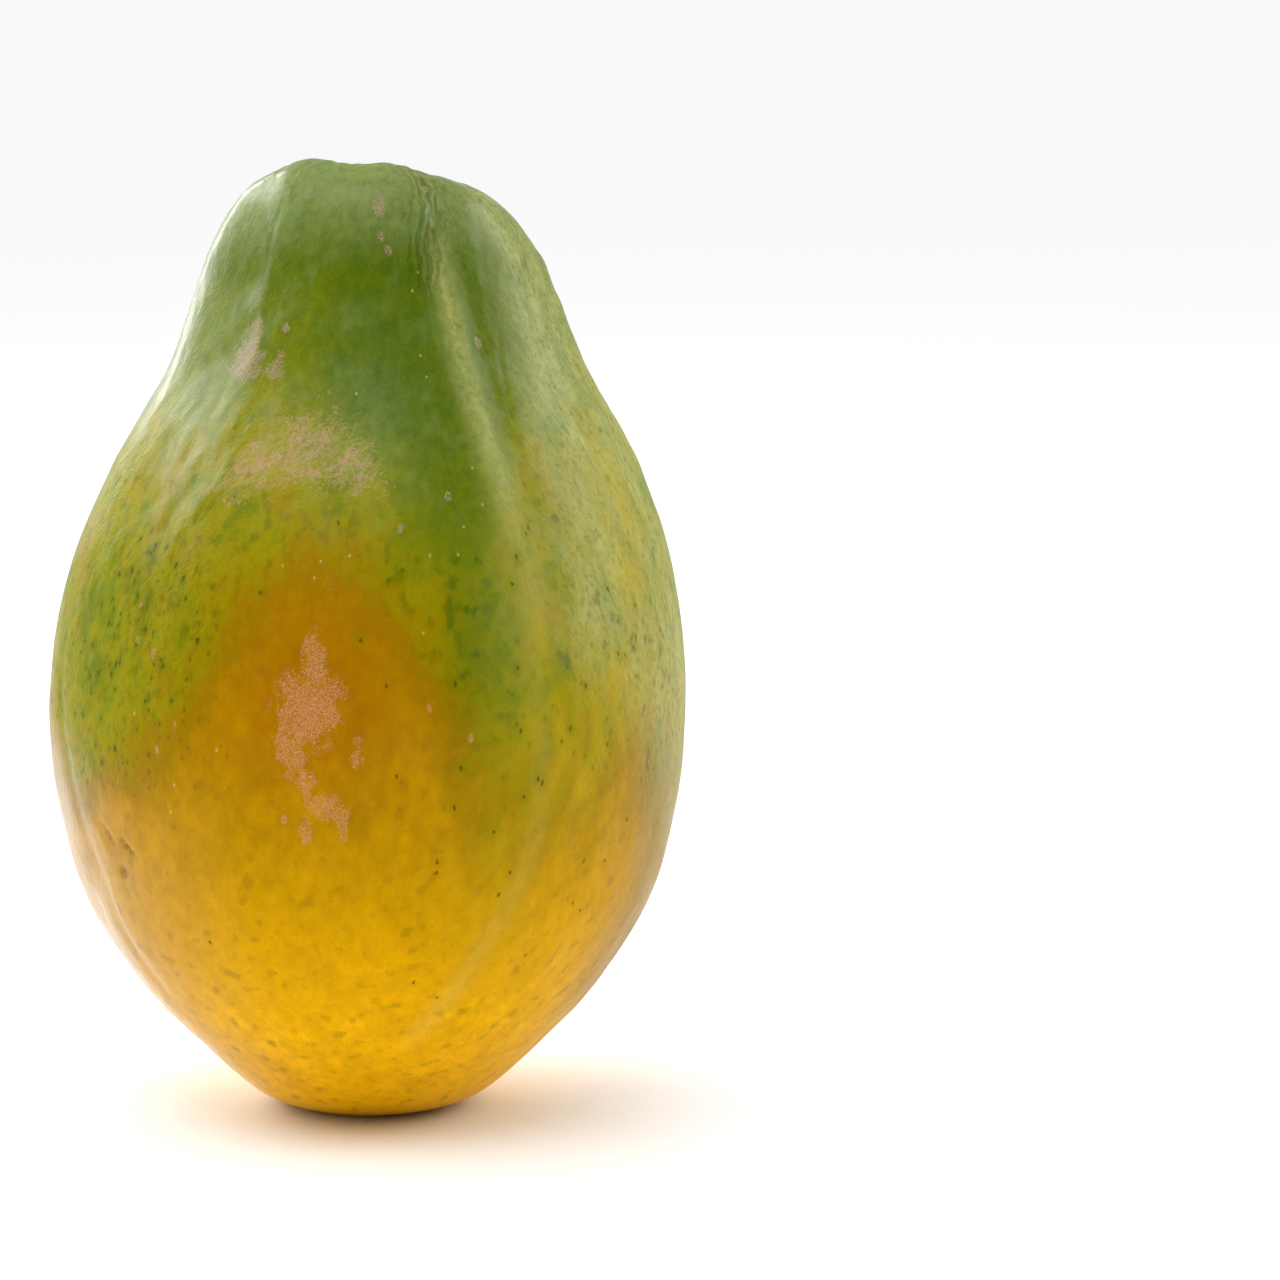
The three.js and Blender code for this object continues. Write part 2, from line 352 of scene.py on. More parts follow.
def region(name):
    """1 inside a region and 0 outside it: a band round the fruit times a band up it."""
    ends = REGIONS[name]
    return band(angle_deg, ends[:2], ends[2:4]) * band(height_mm, ends[4:6], ends[6:])


for name in REGIONS:
    print(f"the {name} is {region(name).mean():.0%} of the grid")

# %% [markdown]
# ## Small relief
# Seen close, the skin isn't smooth. Soft wrinkles lie along it on the left, the front crease is
# a bundle of folds, the cavity's wall is furrowed, and there are a few scars and pits. They
# could all be bump in the material, but folds this deep show at the outline and in the
# highlights, so they move the mesh. A field of many small waves in drawn directions gives
# each kind of unevenness, and its stretch makes the waves long one way.

# %% Fields of small waves
WAVE_COUNT = 36
WAVE_SPREAD = (0.7, 1.4)  # the least and the most waves to a size
PEAK = 0.7  # brings nearly all of a field within -1 and 1
UNEVENNESS = [  # amount, size, stretch up the fruit, seed, as in every table of waves
    (0.07, 12, 1.4, 41), (0.03, 5, 1.4, 42),
]


def waves(points, size, stretch, seed):
    """A smooth random field of about -1 to 1: sines of the points' dot product with random
    directions, added up and divided by the root of half their number. Their wave length is
    about size, and longer along a stretched axis."""
    draw = np.random.default_rng(seed)
    directions = draw.normal(size=(WAVE_COUNT, 3))
    directions /= np.linalg.norm(directions, axis=1)[:, None]
    directions *= draw.uniform(*WAVE_SPREAD, (WAVE_COUNT, 1)) * 2 * pi / size / np.array(stretch)
    phases = draw.uniform(0, 2 * pi, WAVE_COUNT)
    field = sum(np.sin(points @ d + phase) for d, phase in zip(directions, phases))
    return field / np.sqrt(WAVE_COUNT / 2) * PEAK


def wave_sum(table, points=base):
    """The sum of fields of waves, one for each row of a table."""
    return sum(amount * waves(points, size, (1, 1, tall), seed) for amount, size, tall, seed in table)


def told(name, values):
    """Prints the range of a field and hands it on."""
    print(f"{name}: {values.min():.2f} to {values.max():.2f}")
    return values


unevenness = told("unevenness all over, in mm", wave_sum(UNEVENNESS))

# %% Folds and wrinkles
FRONT_CREASE = CREASES[1]
FOLDS_WIDTH, FOLDS_SHIFT, FOLDS_HEIGHTS = 3.4, -0.4, (128, 150)
SHORT_FOLDS, SHORT_FOLDS_SIZE, SHORT_FOLDS_STRETCH, SHORT_FOLDS_SEED = 0.2, 2.6, (1.6, 1, 0.8), 3
LONG_FOLDS = [(0.12, 3.2, 3, 4)]
NARROWEST = 14  # the folds don't close in further than on this radius
WRINKLE_LEAN = 24  # degrees
WRINKLES = [(0.15, 6, 3, 11), (0.08, 3.2, 2.4, 12)]
NECK_WRINKLES, NECK_WRINKLES_HEIGHTS = 0.3, (84, 125)
LEFT_SMOOTHING = 0.8
LEFT_WRINKLES, SMOOTHER_NECK, SMOOTHER_HEIGHTS = 0.7, 0.7, (120, 138)


def crease_folds():
    """Folds bundled in the front crease: short ones across it and longer ones along it, under
    a bell across it and a fade towards the rim."""
    across = across_from(crease_middle(FRONT_CREASE, height_mm), np.maximum(radius_mm, NARROWEST))
    where = bell(across - FOLDS_SHIFT, FOLDS_WIDTH) * fade(height_mm, *FOLDS_HEIGHTS)
    short_folds = SHORT_FOLDS * waves(base, SHORT_FOLDS_SIZE, SHORT_FOLDS_STRETCH, SHORT_FOLDS_SEED)
    return where * (short_folds + wave_sum(LONG_FOLDS))


def leathery_wrinkles():
    """Soft wrinkles, strongest on the left where the neck widens, and few on the smooth left.
    They lean to the right as they go up: the waves are drawn in a frame turned by that lean."""
    neck = NECK_WRINKLES * fade(height_mm, *NECK_WRINKLES_HEIGHTS)
    neck = neck * (1 - LEFT_SMOOTHING * region("smooth left"))
    left = LEFT_WRINKLES * region("left of the neck")
    left = left * (1 - SMOOTHER_NECK * fade(height_mm, *SMOOTHER_HEIGHTS))
    cosine, sine = np.cos(radians(WRINKLE_LEAN)), np.sin(radians(WRINKLE_LEAN))
    turned = base @ np.array([[cosine, 0, sine], [0, 1, 0], [-sine, 0, cosine]])
    return (neck + left) * wave_sum(WRINKLES, turned)


skin_wrinkles = told("folds and wrinkles, in mm", crease_folds() + leathery_wrinkles())

# %% The cavity's furrows and the scar
FURROW_COUNT, FURROW_DEPTH, FURROW_WANDER = 23, 0.16, [(2.2, 9, 1, 21)]
CAVITY_WALL = ((0, 0.18), (0.42, 0.56))  # shares of the way from the rim to the scar's middle
OVER_RIM, OVER_RIM_HEIGHTS, OVER_RIM_REACH = 0.4, (158, 163), (0, 0.2)
SCAR_PLATE = (0.5, 0.62)
SCAR_FIBRES = [(0.2, 1.8, 1, 31), (0.2, 4.5, 1, 32)]


def cavity_furrows():
    """Furrows down the cavity's wall: sines round it with a wandering phase, that fade out on
    the rim and on the scar."""
    furrows = np.sin(np.radians(FURROW_COUNT * angle_deg) + wave_sum(FURROW_WANDER))
    on_wall = band(in_cavity, *CAVITY_WALL)
    over_rim = OVER_RIM * fade(height_mm, *OVER_RIM_HEIGHTS) * (1 - fade(in_cavity, *OVER_RIM_REACH))
    return FURROW_DEPTH * furrows * (on_wall + over_rim)


def corky_scar():
    """The scar's plate: small waves for the torn fibres, over larger ones for the broken end."""
    return fade(in_cavity, *SCAR_PLATE) * wave_sum(SCAR_FIBRES)


cavity_relief = told("the cavity's furrows and scar, in mm", cavity_furrows() + corky_scar())

# %% Gouges and a groove
GOUGES = [  # angle, height, width, tallness, lean across in mm for each mm up, depth
    (-50.5, 54.4, 1, 2.4, -0.8, 0.6), (-45.5, 53, 1, 1.7, -1.1, 0.8), (-48, 48.3, 1.3, 1.3, 0, 0.7),
    (-53, 54, 1.1, 3, -0.7, -0.3), (-43, 54, 1, 2, -1.1, -0.3), (-32.3, 37.8, 0.9, 0.7, 0, 0.4),
    (31.8, 103, 1.1, 2, 0.3, 0.35), (44, 133, 0.5, 6, 0.25, 0.16), (46, 95, 0.5, 3.5, 0.35, 0.15),
    (-39, 152, 0.45, 5, 0.3, 0.14),
]
LEFT_GROOVE = [  # height, angle
    (20, -50), (31, -53.5), (42, -56), (50, -59), (60, -62), (70, -66), (84, -70),
]
GROOVE_DEPTH, GROOVE_WIDTH = 0.35, 1.7
GROOVE_HEIGHTS = ((18, 30), (72, 90))


def gouges():
    """Scars and pits: each is a bell across a slanting line times a bell up."""
    out = np.zeros(shape)
    for angle, height, wide, tall, lean, depth in GOUGES:
        slanting = across_from(angle) - lean * (height_mm - height)
        out -= depth * bell(slanting, wide) * bell(height_mm - height, tall)
    return out


def left_groove():
    """A long shallow groove up the lower left: a bell across a curved line."""
    across = across_from(on_curve(LEFT_GROOVE, height_mm))
    return -GROOVE_DEPTH * bell(across, GROOVE_WIDTH) * band(height_mm, *GROOVE_HEIGHTS)


gouged = told("gouges, in mm", gouges())
grooved = told("the groove, in mm", left_groove())

# %% Move the skin by its small relief
RESTING_HEIGHTS = (2, 9)  # nothing small disturbs the flat spot
SKIN_ENDS = (0.3, 0.5)  # where in the cavity the skin's own relief stops
INSET = 0.12  # keeps the fine skin inside the plain solid's box


def outward():
    """The unit normal at each grid point: the cross product of the steps round and up."""
    ahead = np.roll(base, -1, axis=1) - np.roll(base, 1, axis=1)
    up = np.gradient(base, axis=0)
    normal = np.cross(ahead, up)
    return normal / np.linalg.norm(normal, axis=2)[..., None]


off_table = fade(height_mm, *RESTING_HEIGHTS)
small = skin_wrinkles + gouged + grooved + unevenness
small = small * (1 - fade(in_cavity, *SKIN_ENDS)) * off_table + cavity_relief
skin = base + outward() * (told("all small relief, in mm", small) - INSET * off_table)[..., None]

# %% [markdown]
# ## What the skin carries
# The colour follows the fruit: it ripens from the blossom end up, faster on some faces, and
# tints and scuffs lie where they grew; some of the tints are painted shade, highlights and
# reflections. Each of these is a number at every point of the skin, stored in the mesh as an
# attribute that the material reads, so the pattern sits on the surface and stays there.

# %% Ripeness
RIPENING = [  # angle, the heights between which green turns olive, and those for olive to gold
    (-180, 112, 142, 50, 108), (-150, 110, 140, 38, 98), (-115, 112, 142, 50, 112),
    (-90, 112, 140, 42, 108), (-72, 112, 142, 48, 98), (-64, 110, 140, 50, 76), (-56, 108, 140, 50, 71),
    (-48, 110, 144, 54, 82), (-40, 110, 148, 54, 90), (-32, 112, 152, 58, 106), (-24, 116, 150, 76, 114),
    (-16, 116, 146, 84, 118), (-8, 112, 136, 90, 118), (0, 108, 132, 88, 118), (8, 104, 126, 80, 114),
    (16, 96, 122, 55, 98), (24, 94, 124, 46, 86), (32, 108, 138, 44, 82), (40, 110, 144, 42, 92),
    (48, 112, 146, 38, 98), (56, 112, 146, 52, 106), (72, 114, 142, 46, 106), (95, 114, 144, 48, 106),
    (130, 112, 140, 54, 112), (180, 112, 142, 50, 108),
]
OLIVE = 0.6  # the ripeness where the two stretches meet
NECK_RIPENESS = 0.22  # above both stretches
BOTTOM_GAIN, BOTTOM_HEIGHTS = 0.23, (10, 76)
TOP_LOSS, TOP_HEIGHTS = 0.14, (144, 160)
# painted light: the lowest few mm are made a brighter gold, to lighten the shade where the fruit meets the
# table
BASE_PAINTED_LIGHT, BASE_PAINTED_LIGHT_HEIGHTS = 0.04, (2, 9)
RIPENESS_PATCHES = [  # angle, height, width, tallness, amount, as in every table of patches
    (6, 134, 12, 20, -0.12), (-14, 146, 9, 9, 0.05), (-28, 128, 7, 8, -0.06), (-58, 134, 18, 16, 0.12),
]
RIPENESS_WANDER = [(3, 30, 1.5, 51)]
BACK_WANDER, BACK_ANGLES = [(11, 52, 1.8, 55)], (66, 105)
BLOTCHES = [(0.6, 14, 1.6, 52), (0.6, 6, 1.5, 53), (0.45, 3.2, 1.4, 54)]
TURNING, TURNING_SPREAD = 0.68, 0.24  # the ripeness where blotches are strongest
EVEN_FRONT = [(-4, 92, 22, 20, 0.75)]
BLOTCHED, MORE_BLOTCHED = 0.016, 0.1  # everywhere, and more where the skin is turning


def ripeness():
    """0 is deep green, OLIVE is olive, 1 is ripe and above 1 is golden. It falls over the upper
    stretch, over the lower one and towards the top, and rises a little towards the bottom. In the
    last few mm it rises again as painted light, a brighter gold against the table's shade. Both
    stretches wander up and down, most at the back. Blotches of three sizes break it up, most
    where the skin is turning."""
    table = np.array(RIPENING, float)
    wander = wave_sum(RIPENESS_WANDER) + fade(np.abs(angle_deg), *BACK_ANGLES) * wave_sum(BACK_WANDER)
    low, high, gold_low, gold_high = (on_curve(table[:, [0, k]], angle_deg) + wander for k in (1, 2, 3, 4))
    ripe = NECK_RIPENESS + (OLIVE - NECK_RIPENESS) * (1 - fade(height_mm, low, high))
    ripe += (1 - OLIVE) * (1 - fade(height_mm, gold_low, gold_high))
    ripe += BOTTOM_GAIN * (1 - fade(height_mm, *BOTTOM_HEIGHTS)) - TOP_LOSS * fade(height_mm, *TOP_HEIGHTS)
    ripe += BASE_PAINTED_LIGHT * (1 - fade(height_mm, *BASE_PAINTED_LIGHT_HEIGHTS)) + patches(RIPENESS_PATCHES)
    turning = bell(ripe - TURNING, TURNING_SPREAD) * (1 - patches(EVEN_FRONT))
    return ripe + wave_sum(BLOTCHES) * (BLOTCHED + MORE_BLOTCHED * turning)


fields = {"ripe": told("ripe", ripeness())}

# %% Blush, bloom with painted sheen and highlights, and sage
BLUSH_PATCHES = [(-8, 81, 16, 17.5, 0.95), (-46, 38, 16, 24, 0.15)]  # where the flesh shows orange
LOBE_EDGE = [  # height, angle
    (20, 64), (60, 56), (74, 46), (88, 31), (100, 30), (125, 37), (150, 46),
]
LOBE_EDGE_WIDTH, LOBE_BACK, LOBE_HEIGHTS = 26, (128, 160), (24, 86)
RIB_MIDDLE = [(10, 10), (30, 22), (58, 34), (100, 32), (155, 28.5)]  # height, angle
RIB_WIDTH, RIB_HEIGHTS = 2.4, ((74, 100), (148, 158))
# painted highlights: the rib, a faint line below it and the rim's shoulder are made paler as if lit, and
# the lobe's bloom is partly a painted sheen
RIB_HIGHLIGHT, MORE_RIB_HIGHLIGHT, MORE_RIB_HEIGHTS = 0.3, 0.45, (98, 124)
LINE_WIDTH, LINE_HEIGHTS, LINE_HIGHLIGHT = 2.2, ((14, 24), (66, 90)), 0.2
LOBE_BLOOM_AND_SHEEN, LOBE_BANDS = 0.86, 0.26
SHOULDER_HIGHLIGHT, SHOULDER_HEIGHTS = 0.5, (150, 162)
BLOOM_AND_SHEEN_BANDS = [(0.6, 7, 6, 61), (0.4, 3, 6, 62)]
LONG_SAGE = [(1, 8, 3.4, 63), (0.4, 3, 3, 64)]
SMALL_SAGE = [(1, 8, 1.5, 65), (0.6, 3, 1.5, 66)]
LOBE_SAGE, WAXY_SAGE, WAXY_HEIGHTS = 0.7, 0.45, (98, 130)
SHOULDER_SAGE, SAGE_SHOULDER_HEIGHTS = 0.6, (150, 161)
SAGE_PATCHES = [(30, 94, 6, 15, 0.42), (3, 125, 9, 11, 0.3)]
YELLOWER_NECK = [(6, 134, 14, 18, 0.7)]


def capped(amount):
    """An amount kept from 0 to 1."""
    return np.clip(amount, 0, 1)


def on_right_lobe():
    """The flank right of the rib, down to where it turns under."""
    edge = on_curve(LOBE_EDGE, height_mm)
    return band(angle_deg, (edge, edge + LOBE_EDGE_WIDTH), LOBE_BACK) * fade(height_mm, *LOBE_HEIGHTS)


def bloom_and_painted_sheen():
    """Pale bloom and painted light: bloom with a painted sheen over the right lobe in long bands,
    a painted highlight along the rib with a faint line below it, and a painted highlight on the
    shoulder of the rim."""
    off_rib = across_from(on_curve(RIB_MIDDLE, height_mm))
    rib = bell(off_rib, RIB_WIDTH) * band(height_mm, *RIB_HEIGHTS)
    rib = rib * (RIB_HIGHLIGHT + MORE_RIB_HIGHLIGHT * fade(height_mm, *MORE_RIB_HEIGHTS))
    line = LINE_HIGHLIGHT * bell(off_rib, LINE_WIDTH) * band(height_mm, *LINE_HEIGHTS)
    shoulder = SHOULDER_HIGHLIGHT * fade(height_mm, *SHOULDER_HEIGHTS) * (1 - fade(in_cavity, 0, 0.3))
    lobe = on_right_lobe() * (LOBE_BLOOM_AND_SHEEN + LOBE_BANDS * wave_sum(BLOOM_AND_SHEEN_BANDS))
    return capped(lobe + rib + line + shoulder)


def sage():
    """Grey-green: long patches on the right lobe, small waxy ones where it is green, one each
    on the rib and the neck, and the shoulder of the rim."""
    lobe = LOBE_SAGE * on_right_lobe() * fade(wave_sum(LONG_SAGE), 0.1, 1.2)
    green = fade(height_mm, *WAXY_HEIGHTS) * (1 - patches(YELLOWER_NECK))
    waxy = WAXY_SAGE * green * fade(wave_sum(SMALL_SAGE), 0.2, 1.4)
    shoulder = SHOULDER_SAGE * fade(height_mm, *SAGE_SHOULDER_HEIGHTS) * (1 - 0.5 * on_right_lobe())
    return capped(lobe + patches(SAGE_PATCHES) + waxy + shoulder)


fields["blush"] = told("blush", capped(patches(BLUSH_PATCHES)))
# pale bloom with painted light: a painted sheen on the lobe, painted highlights on the rib and the shoulder
fields["chalk"] = told("chalk", bloom_and_painted_sheen())
fields["sage"] = told("sage", sage())

# %% Deep green, clear yellow, tan with painted shade, and grey with a painted reflection
DEEP_PATCHES = [
    (-20, 89, 18, 8, 0.14), (21, 93, 5, 19, 0.6), (8, 104, 6, 5, 0.2), (14, 133, 5, 7, 0.25),
    (5, 151, 9, 9, 0.24),
]
DEEP_CHEEK, CHEEK_BLOTCHES = [(-54, 92, 14, 12, 0.6)], [(1, 9, 1.8, 56)]
SUNNY_PATCHES = [
    (26, 51, 9, 14, 0.42), (42, 68, 13, 13, 0.75), (34, 90, 3.5, 9, 0.35),
    (55, 80, 8, 9, 0.5), (69, 112, 5, 8, 0.5), (63, 98, 6, 6, 0.5),
]
SUNNY_WAVES = [(0.4, 5, 2.4, 68)]
DULL_SHADE_AMOUNT, DULL_SHADE_WAVES = 0.68, [(0.05, 9, 2, 67)]
GREY_REFLECTION_AMOUNT, GREY_REFLECTION_WAVES = 0.5, [(0.06, 6, 3, 69)]
PATCH_WAVES = [(0.2, 3.4, 1.2, 71)]  # breaks up the edges of marks


def deepened():
    """Where the green is deepest: left of the rib, on the neck, a little above the blush, and in
    blotches on the left cheek."""
    return capped(patches(DEEP_PATCHES) + patches(DEEP_CHEEK) * fade(wave_sum(CHEEK_BLOTCHES), 0, 1))


def sunned():
    """Clear yellow patches on the right, where the green has gone and no bloom is left."""
    return capped(patches(SUNNY_PATCHES) * (1 + wave_sum(SUNNY_WAVES)))


def dull_tan_and_shade():
    """Dull tan low on the right flank: partly the skin's own tone and partly painted shade."""
    return capped(DULL_SHADE_AMOUNT * region("low right flank") * (1 + wave_sum(DULL_SHADE_WAVES)))


def grey_and_painted_reflection():
    """Pale grey low on the left flank: partly the skin's own tone and partly a painted reflection of the
    white surroundings at the edge.
    """
    return capped(GREY_REFLECTION_AMOUNT * region("low left flank") * (1 + wave_sum(GREY_REFLECTION_WAVES)))


fields["deep"] = told("deep", deepened())
fields["sunny"] = told("sunny", sunned())
# painted shade, partly the skin's own tone: the low right flank turns a darker dull tan
fields["dull"] = told("dull", dull_tan_and_shade())
# painted reflection, partly the skin's own tone: the low left flank turns a pale grey
fields["grey"] = told("grey", grey_and_painted_reflection())
fields["patch"] = told("patch", wave_sum(PATCH_WAVES))

# %% [markdown]
# ## Scuffs and russet
# Tan scuffs are places where the skin rubbed against a leaf or its neighbour and healed with
# cork. The attribute only says where they lie and how thick they are. Fine noise in the
# material then breaks their edges up, which a mesh this coarse couldn't.

# %% Scuffs, russet, pores and leather
SCUFFS = [  # angle, height, width, tallness, amount
    (-8, 79.5, 5.8, 6, 0.95), (-7.6, 88, 1.9, 4.6, 0.74), (-11, 73, 2.8, 4.4, 0.9), (-8, 67, 1.7, 3, 0.75),
    (-5.2, 63.4, 3, 2.4, 0.9), (-2.4, 62, 1.6, 2, 0.8), (-8.4, 58.4, 1.3, 2, 0.62),
    (-1.8, 58.8, 1.3, 1.8, 0.62), (0.5, 72, 1.6, 3.4, 0.48), (-38.8, 139.4, 2.2, 3, 0.9),
    (-39.6, 136.4, 3.4, 3, 0.95), (-40.5, 134, 4.2, 2.2, 0.85), (-28.3, 134, 2, 1.5, 0.7),
    (-26.6, 135.8, 1.2, 1.8, 0.62), (6.6, 158, 1, 1.5, 0.8), (118, 96, 4, 6, 0.9), (122, 84, 2.4, 4, 0.8),
    (171, 128, 3, 3, 0.8), (205, 70, 4.6, 4, 0.9), (246, 118, 2.4, 5, 0.8),
]
RUSSET_ARCH = [(-34, 116.4), (-24, 120), (-12, 121.4), (0, 119.4), (10, 115)]  # angle, height
RUSSET_WIDTH = [(-36, 5), (-24, 8.6), (-10, 8), (6, 6)]  # angle, width
RUSSET_ENDS = ((-38, -30), (-2, 15))
CHEEK_PORES = [(-50, 84, 26, 27, 0.44)]
LOW_PORES, LOW_PORES_HEIGHTS = 0.34, (60, 130)
RIGHT_PORES, RIGHT_PORES_ANGLES = 0.15, (30, 60)
NECK_LEATHER, NECK_LEATHER_HEIGHTS = 0.4, (108, 140)
SIDE_LEATHER, SIDE_LEATHER_HEIGHTS = 0.8, (44, 92)
FRONT_ANGLE, SIDE_REACH = 4, (24, 42)  # the sides begin this far from the middle of the front
LEFT_LEATHER_LOSS = 0.6


def scuffed():
    """How thick the cork of the scuffs is: the largest of their patches at each point."""
    return np.max([amount * spot(*place) for *place, amount in SCUFFS], axis=0)


def russeted():
    """A band of fine cracked cork across the front, under the neck: a bell across an arch."""
    off_arch = height_mm - on_curve(RUSSET_ARCH, angle_deg)
    return bell(off_arch, on_curve(RUSSET_WIDTH, angle_deg)) * band(angle_deg, *RUSSET_ENDS)


def porous():
    """How thick the dark pores stand: densest on the left cheek, with some all over below and
    some on the right."""
    below = LOW_PORES * (1 - fade(height_mm, *LOW_PORES_HEIGHTS))
    return capped(patches(CHEEK_PORES) + below + RIGHT_PORES * fade(angle_deg, *RIGHT_PORES_ANGLES))


def leathered():
    """How wrinkled the finest skin is: the green neck and both sides, but not the front."""
    sides = SIDE_LEATHER * fade(np.abs(turn(angle_deg, FRONT_ANGLE)), *SIDE_REACH)
    neck = NECK_LEATHER * fade(height_mm, *NECK_LEATHER_HEIGHTS)
    leather = capped(neck + sides * fade(height_mm, *SIDE_LEATHER_HEIGHTS))
    return leather * (1 - LEFT_LEATHER_LOSS * region("smooth left"))


fields["scuff"] = told("scuff", scuffed())
fields["russet"] = told("russet", russeted())
fields["pore"] = told("pore", porous())
fields["leather"] = told("leather", leathered())

# %% Wax, crease and cork
THIN_WAX, LEAST_WAX = 0.13, 0.02
WAX = {  # how much thicker the wax is in a region
    "neck": 0.05, "upper right": 0.12, "low left": 0.52,
    "right flank": -0.1, "low front": -0.1, "left cheek's edge": -0.13,
}
FACET_WAX, FACET_EDGE = 0.38, 16
FACET_BOTTOM, FACET_BOTTOM_RISE, FACET_RISE_ANGLES = 98, 18, (-62, -46)
SHOULDER_WAX, SHOULDER_WAX_HEIGHTS = 0.14, (150, 160)
DRY_CHEEK = [(-54, 84, 28, 18, 0.14)]
CREASE_REACH = 12
CREASE_SHADE_AND_RUST_WIDTH, CREASE_SHADE_AND_RUST_SHIFT = 3.8, -1
CREASE_GROWTH = [(0.2, 96, 140), (0.8, 142, 152)]  # share, the heights over which it fades in
NUB_RADIUS, NUB_HEIGHTS = 3.4, (2, 4)
CORKED_SCAR = (0.5, 0.6)
OUTSIDE_RADIUS = 30  # counts as the scar's radius for all of the skin outside the cavity
FULL_GOUGE = 0.6  # the depth at which a gouge has its whole painted shade


def glossed():
    """How thick the wax is: it shines most low on the left, then on the facet left of the neck,
    whose lower edge rises towards the back, and it is thinnest on the left cheek."""
    bottom = FACET_BOTTOM + FACET_BOTTOM_RISE * (1 - fade(angle_deg, *FACET_RISE_ANGLES))
    facet = FACET_WAX * region("left facet") * fade(height_mm - bottom, 0, FACET_EDGE)
    wax = THIN_WAX + facet + SHOULDER_WAX * fade(height_mm, *SHOULDER_WAX_HEIGHTS)
    wax = wax + sum(amount * region(name) for name, amount in WAX.items())
    return np.clip(wax - patches(DRY_CHEEK), LEAST_WAX, 1)


def off_crease():
    """The distance across from the front crease's middle, in mm, up to its reach."""
    return np.clip(across_from(crease_middle(FRONT_CREASE, height_mm)), -CREASE_REACH, CREASE_REACH)


def creased():
    """Where the front crease's folds are, for their bump, painted shade and rust: a bell across it that
    grows towards the rim.
    """
    grown = sum(amount * fade(height_mm, low, high) for amount, low, high in CREASE_GROWTH)
    return bell(off_crease() - CREASE_SHADE_AND_RUST_SHIFT, CREASE_SHADE_AND_RUST_WIDTH) * grown


def corked():
    """The stem scar and the blossom's nub, where there is cork and no skin."""
    nub = bell(radius_mm, NUB_RADIUS) * (1 - fade(height_mm, *NUB_HEIGHTS))
    return capped(fade(in_cavity, *CORKED_SCAR) + nub)


scar_radius = np.where(in_cavity > 0, radius_mm, OUTSIDE_RADIUS) * MM
fields["gloss"] = told("gloss", glossed())
fields["cork"] = told("cork", corked())
fields["scar_radius"] = told("scar_radius", scar_radius)
fields["crease"] = told("crease", creased())
fields["off_crease"] = told("off_crease", off_crease())
# painted shade: how dark the gouges are painted, by their depth
fields["gouge"] = told("gouge", capped(-gouged / FULL_GOUGE))

# %% [markdown]
# ## The mesh
# The grid's rows close on themselves, and a single point closes each end. A ball could be
# pushed into shape instead, but a mesh that is built from its points keeps them in the order of
# the fields, so each number lands on its own point. The map wraps once round with its seam at
# the back, and goes up by the length along the profile.

# %% Make the mesh
MAP_MARGIN = 0.01


def grid_faces(rows, columns):
    """Quads between rows, then a fan of triangles at each end. Corners go round outwards."""
    index = np.arange(rows * columns).reshape(rows, columns)
    beside = np.roll(index, -1, axis=1)
    quads = np.stack([index[:-1], beside[:-1], beside[1:], index[1:]], axis=-1).reshape(-1, 4)
    bottom, top = rows * columns, rows * columns + 1
    low = np.column_stack([np.full(columns, bottom), beside[0], index[0]])
    high = np.column_stack([np.full(columns, top), index[-1], beside[-1]])
    return quads, np.vstack([low, high])


def wrapped_map(quads, fans, rows, columns, along):
    """u is the column over the columns, where the seam's far side counts as the last one, and
    v is the share of the profile's length, inside a margin. A fan's tip lies over its own
    middle, on the map's edge."""
    place = MAP_MARGIN + (1 - 2 * MAP_MARGIN) * along / along[-1]

    def uv(corners):
        column = (corners % columns).astype(float)
        row = np.minimum(corners // columns, rows - 1)
        at_seam = (column.max(axis=1) == columns - 1)[:, None]
        column[(column == 0) & at_seam] = columns
        v = place[row]
        tips = corners >= rows * columns
        column[tips] = ((column * ~tips).sum(axis=1) / 2)[tips.any(axis=1)]
        v[tips] = np.where(corners[tips] == rows * columns, 0, 1)
        return np.stack([column / columns, v], axis=-1)

    return np.vstack([uv(quads).reshape(-1, 2), uv(fans).reshape(-1, 2)])


def make_skin():
    """The fruit's mesh, with its fields as attributes and its map."""
    rows, columns = shape
    ends = np.array([[0, 0, BLOSSOM[0][1]], skin[-1].mean(axis=0)])
    vertices = np.vstack([skin.reshape(-1, 3), ends]) * MM
    quads, fans = grid_faces(rows, columns)
    mesh = bpy.data.meshes.new("papaya")
    mesh.from_pydata(vertices.tolist(), [], quads.tolist() + fans.tolist())
    for name, values in fields.items():
        whole = np.concatenate([values.ravel(), [values[0].mean(), values[-1].mean()]])
        mesh.attributes.new(name, "FLOAT", "POINT").data.foreach_set("value", whole.astype(np.float32))
    rises = np.diff(skin[..., 2].mean(axis=1))
    along = np.concatenate([[0], np.cumsum(np.hypot(rises, np.diff(radius_mm[:, 0])))])
    uvs = wrapped_map(quads, fans, rows, columns, along)
    mesh.uv_layers.new(name="OFBake").data.foreach_set("uv", uvs.astype(np.float32).ravel())
    mesh.shade_smooth()
    fruit = bpy.data.objects.new("papaya", mesh)
    bpy.context.scene.collection.objects.link(fruit)
    return fruit


papaya = make_skin()
triangles = sum(len(face.vertices) - 2 for face in papaya.data.polygons)
print("the papaya has", triangles, "triangles")

# %% [markdown]
# ## Sums of sockets
# A material is a sum of patterns. Wiring each Math node by hand hides that sum, so a small
# class lets a socket stand in a Python expression: mask * 0.4 adds the Multiply node. Any other
# node comes from its one method node().

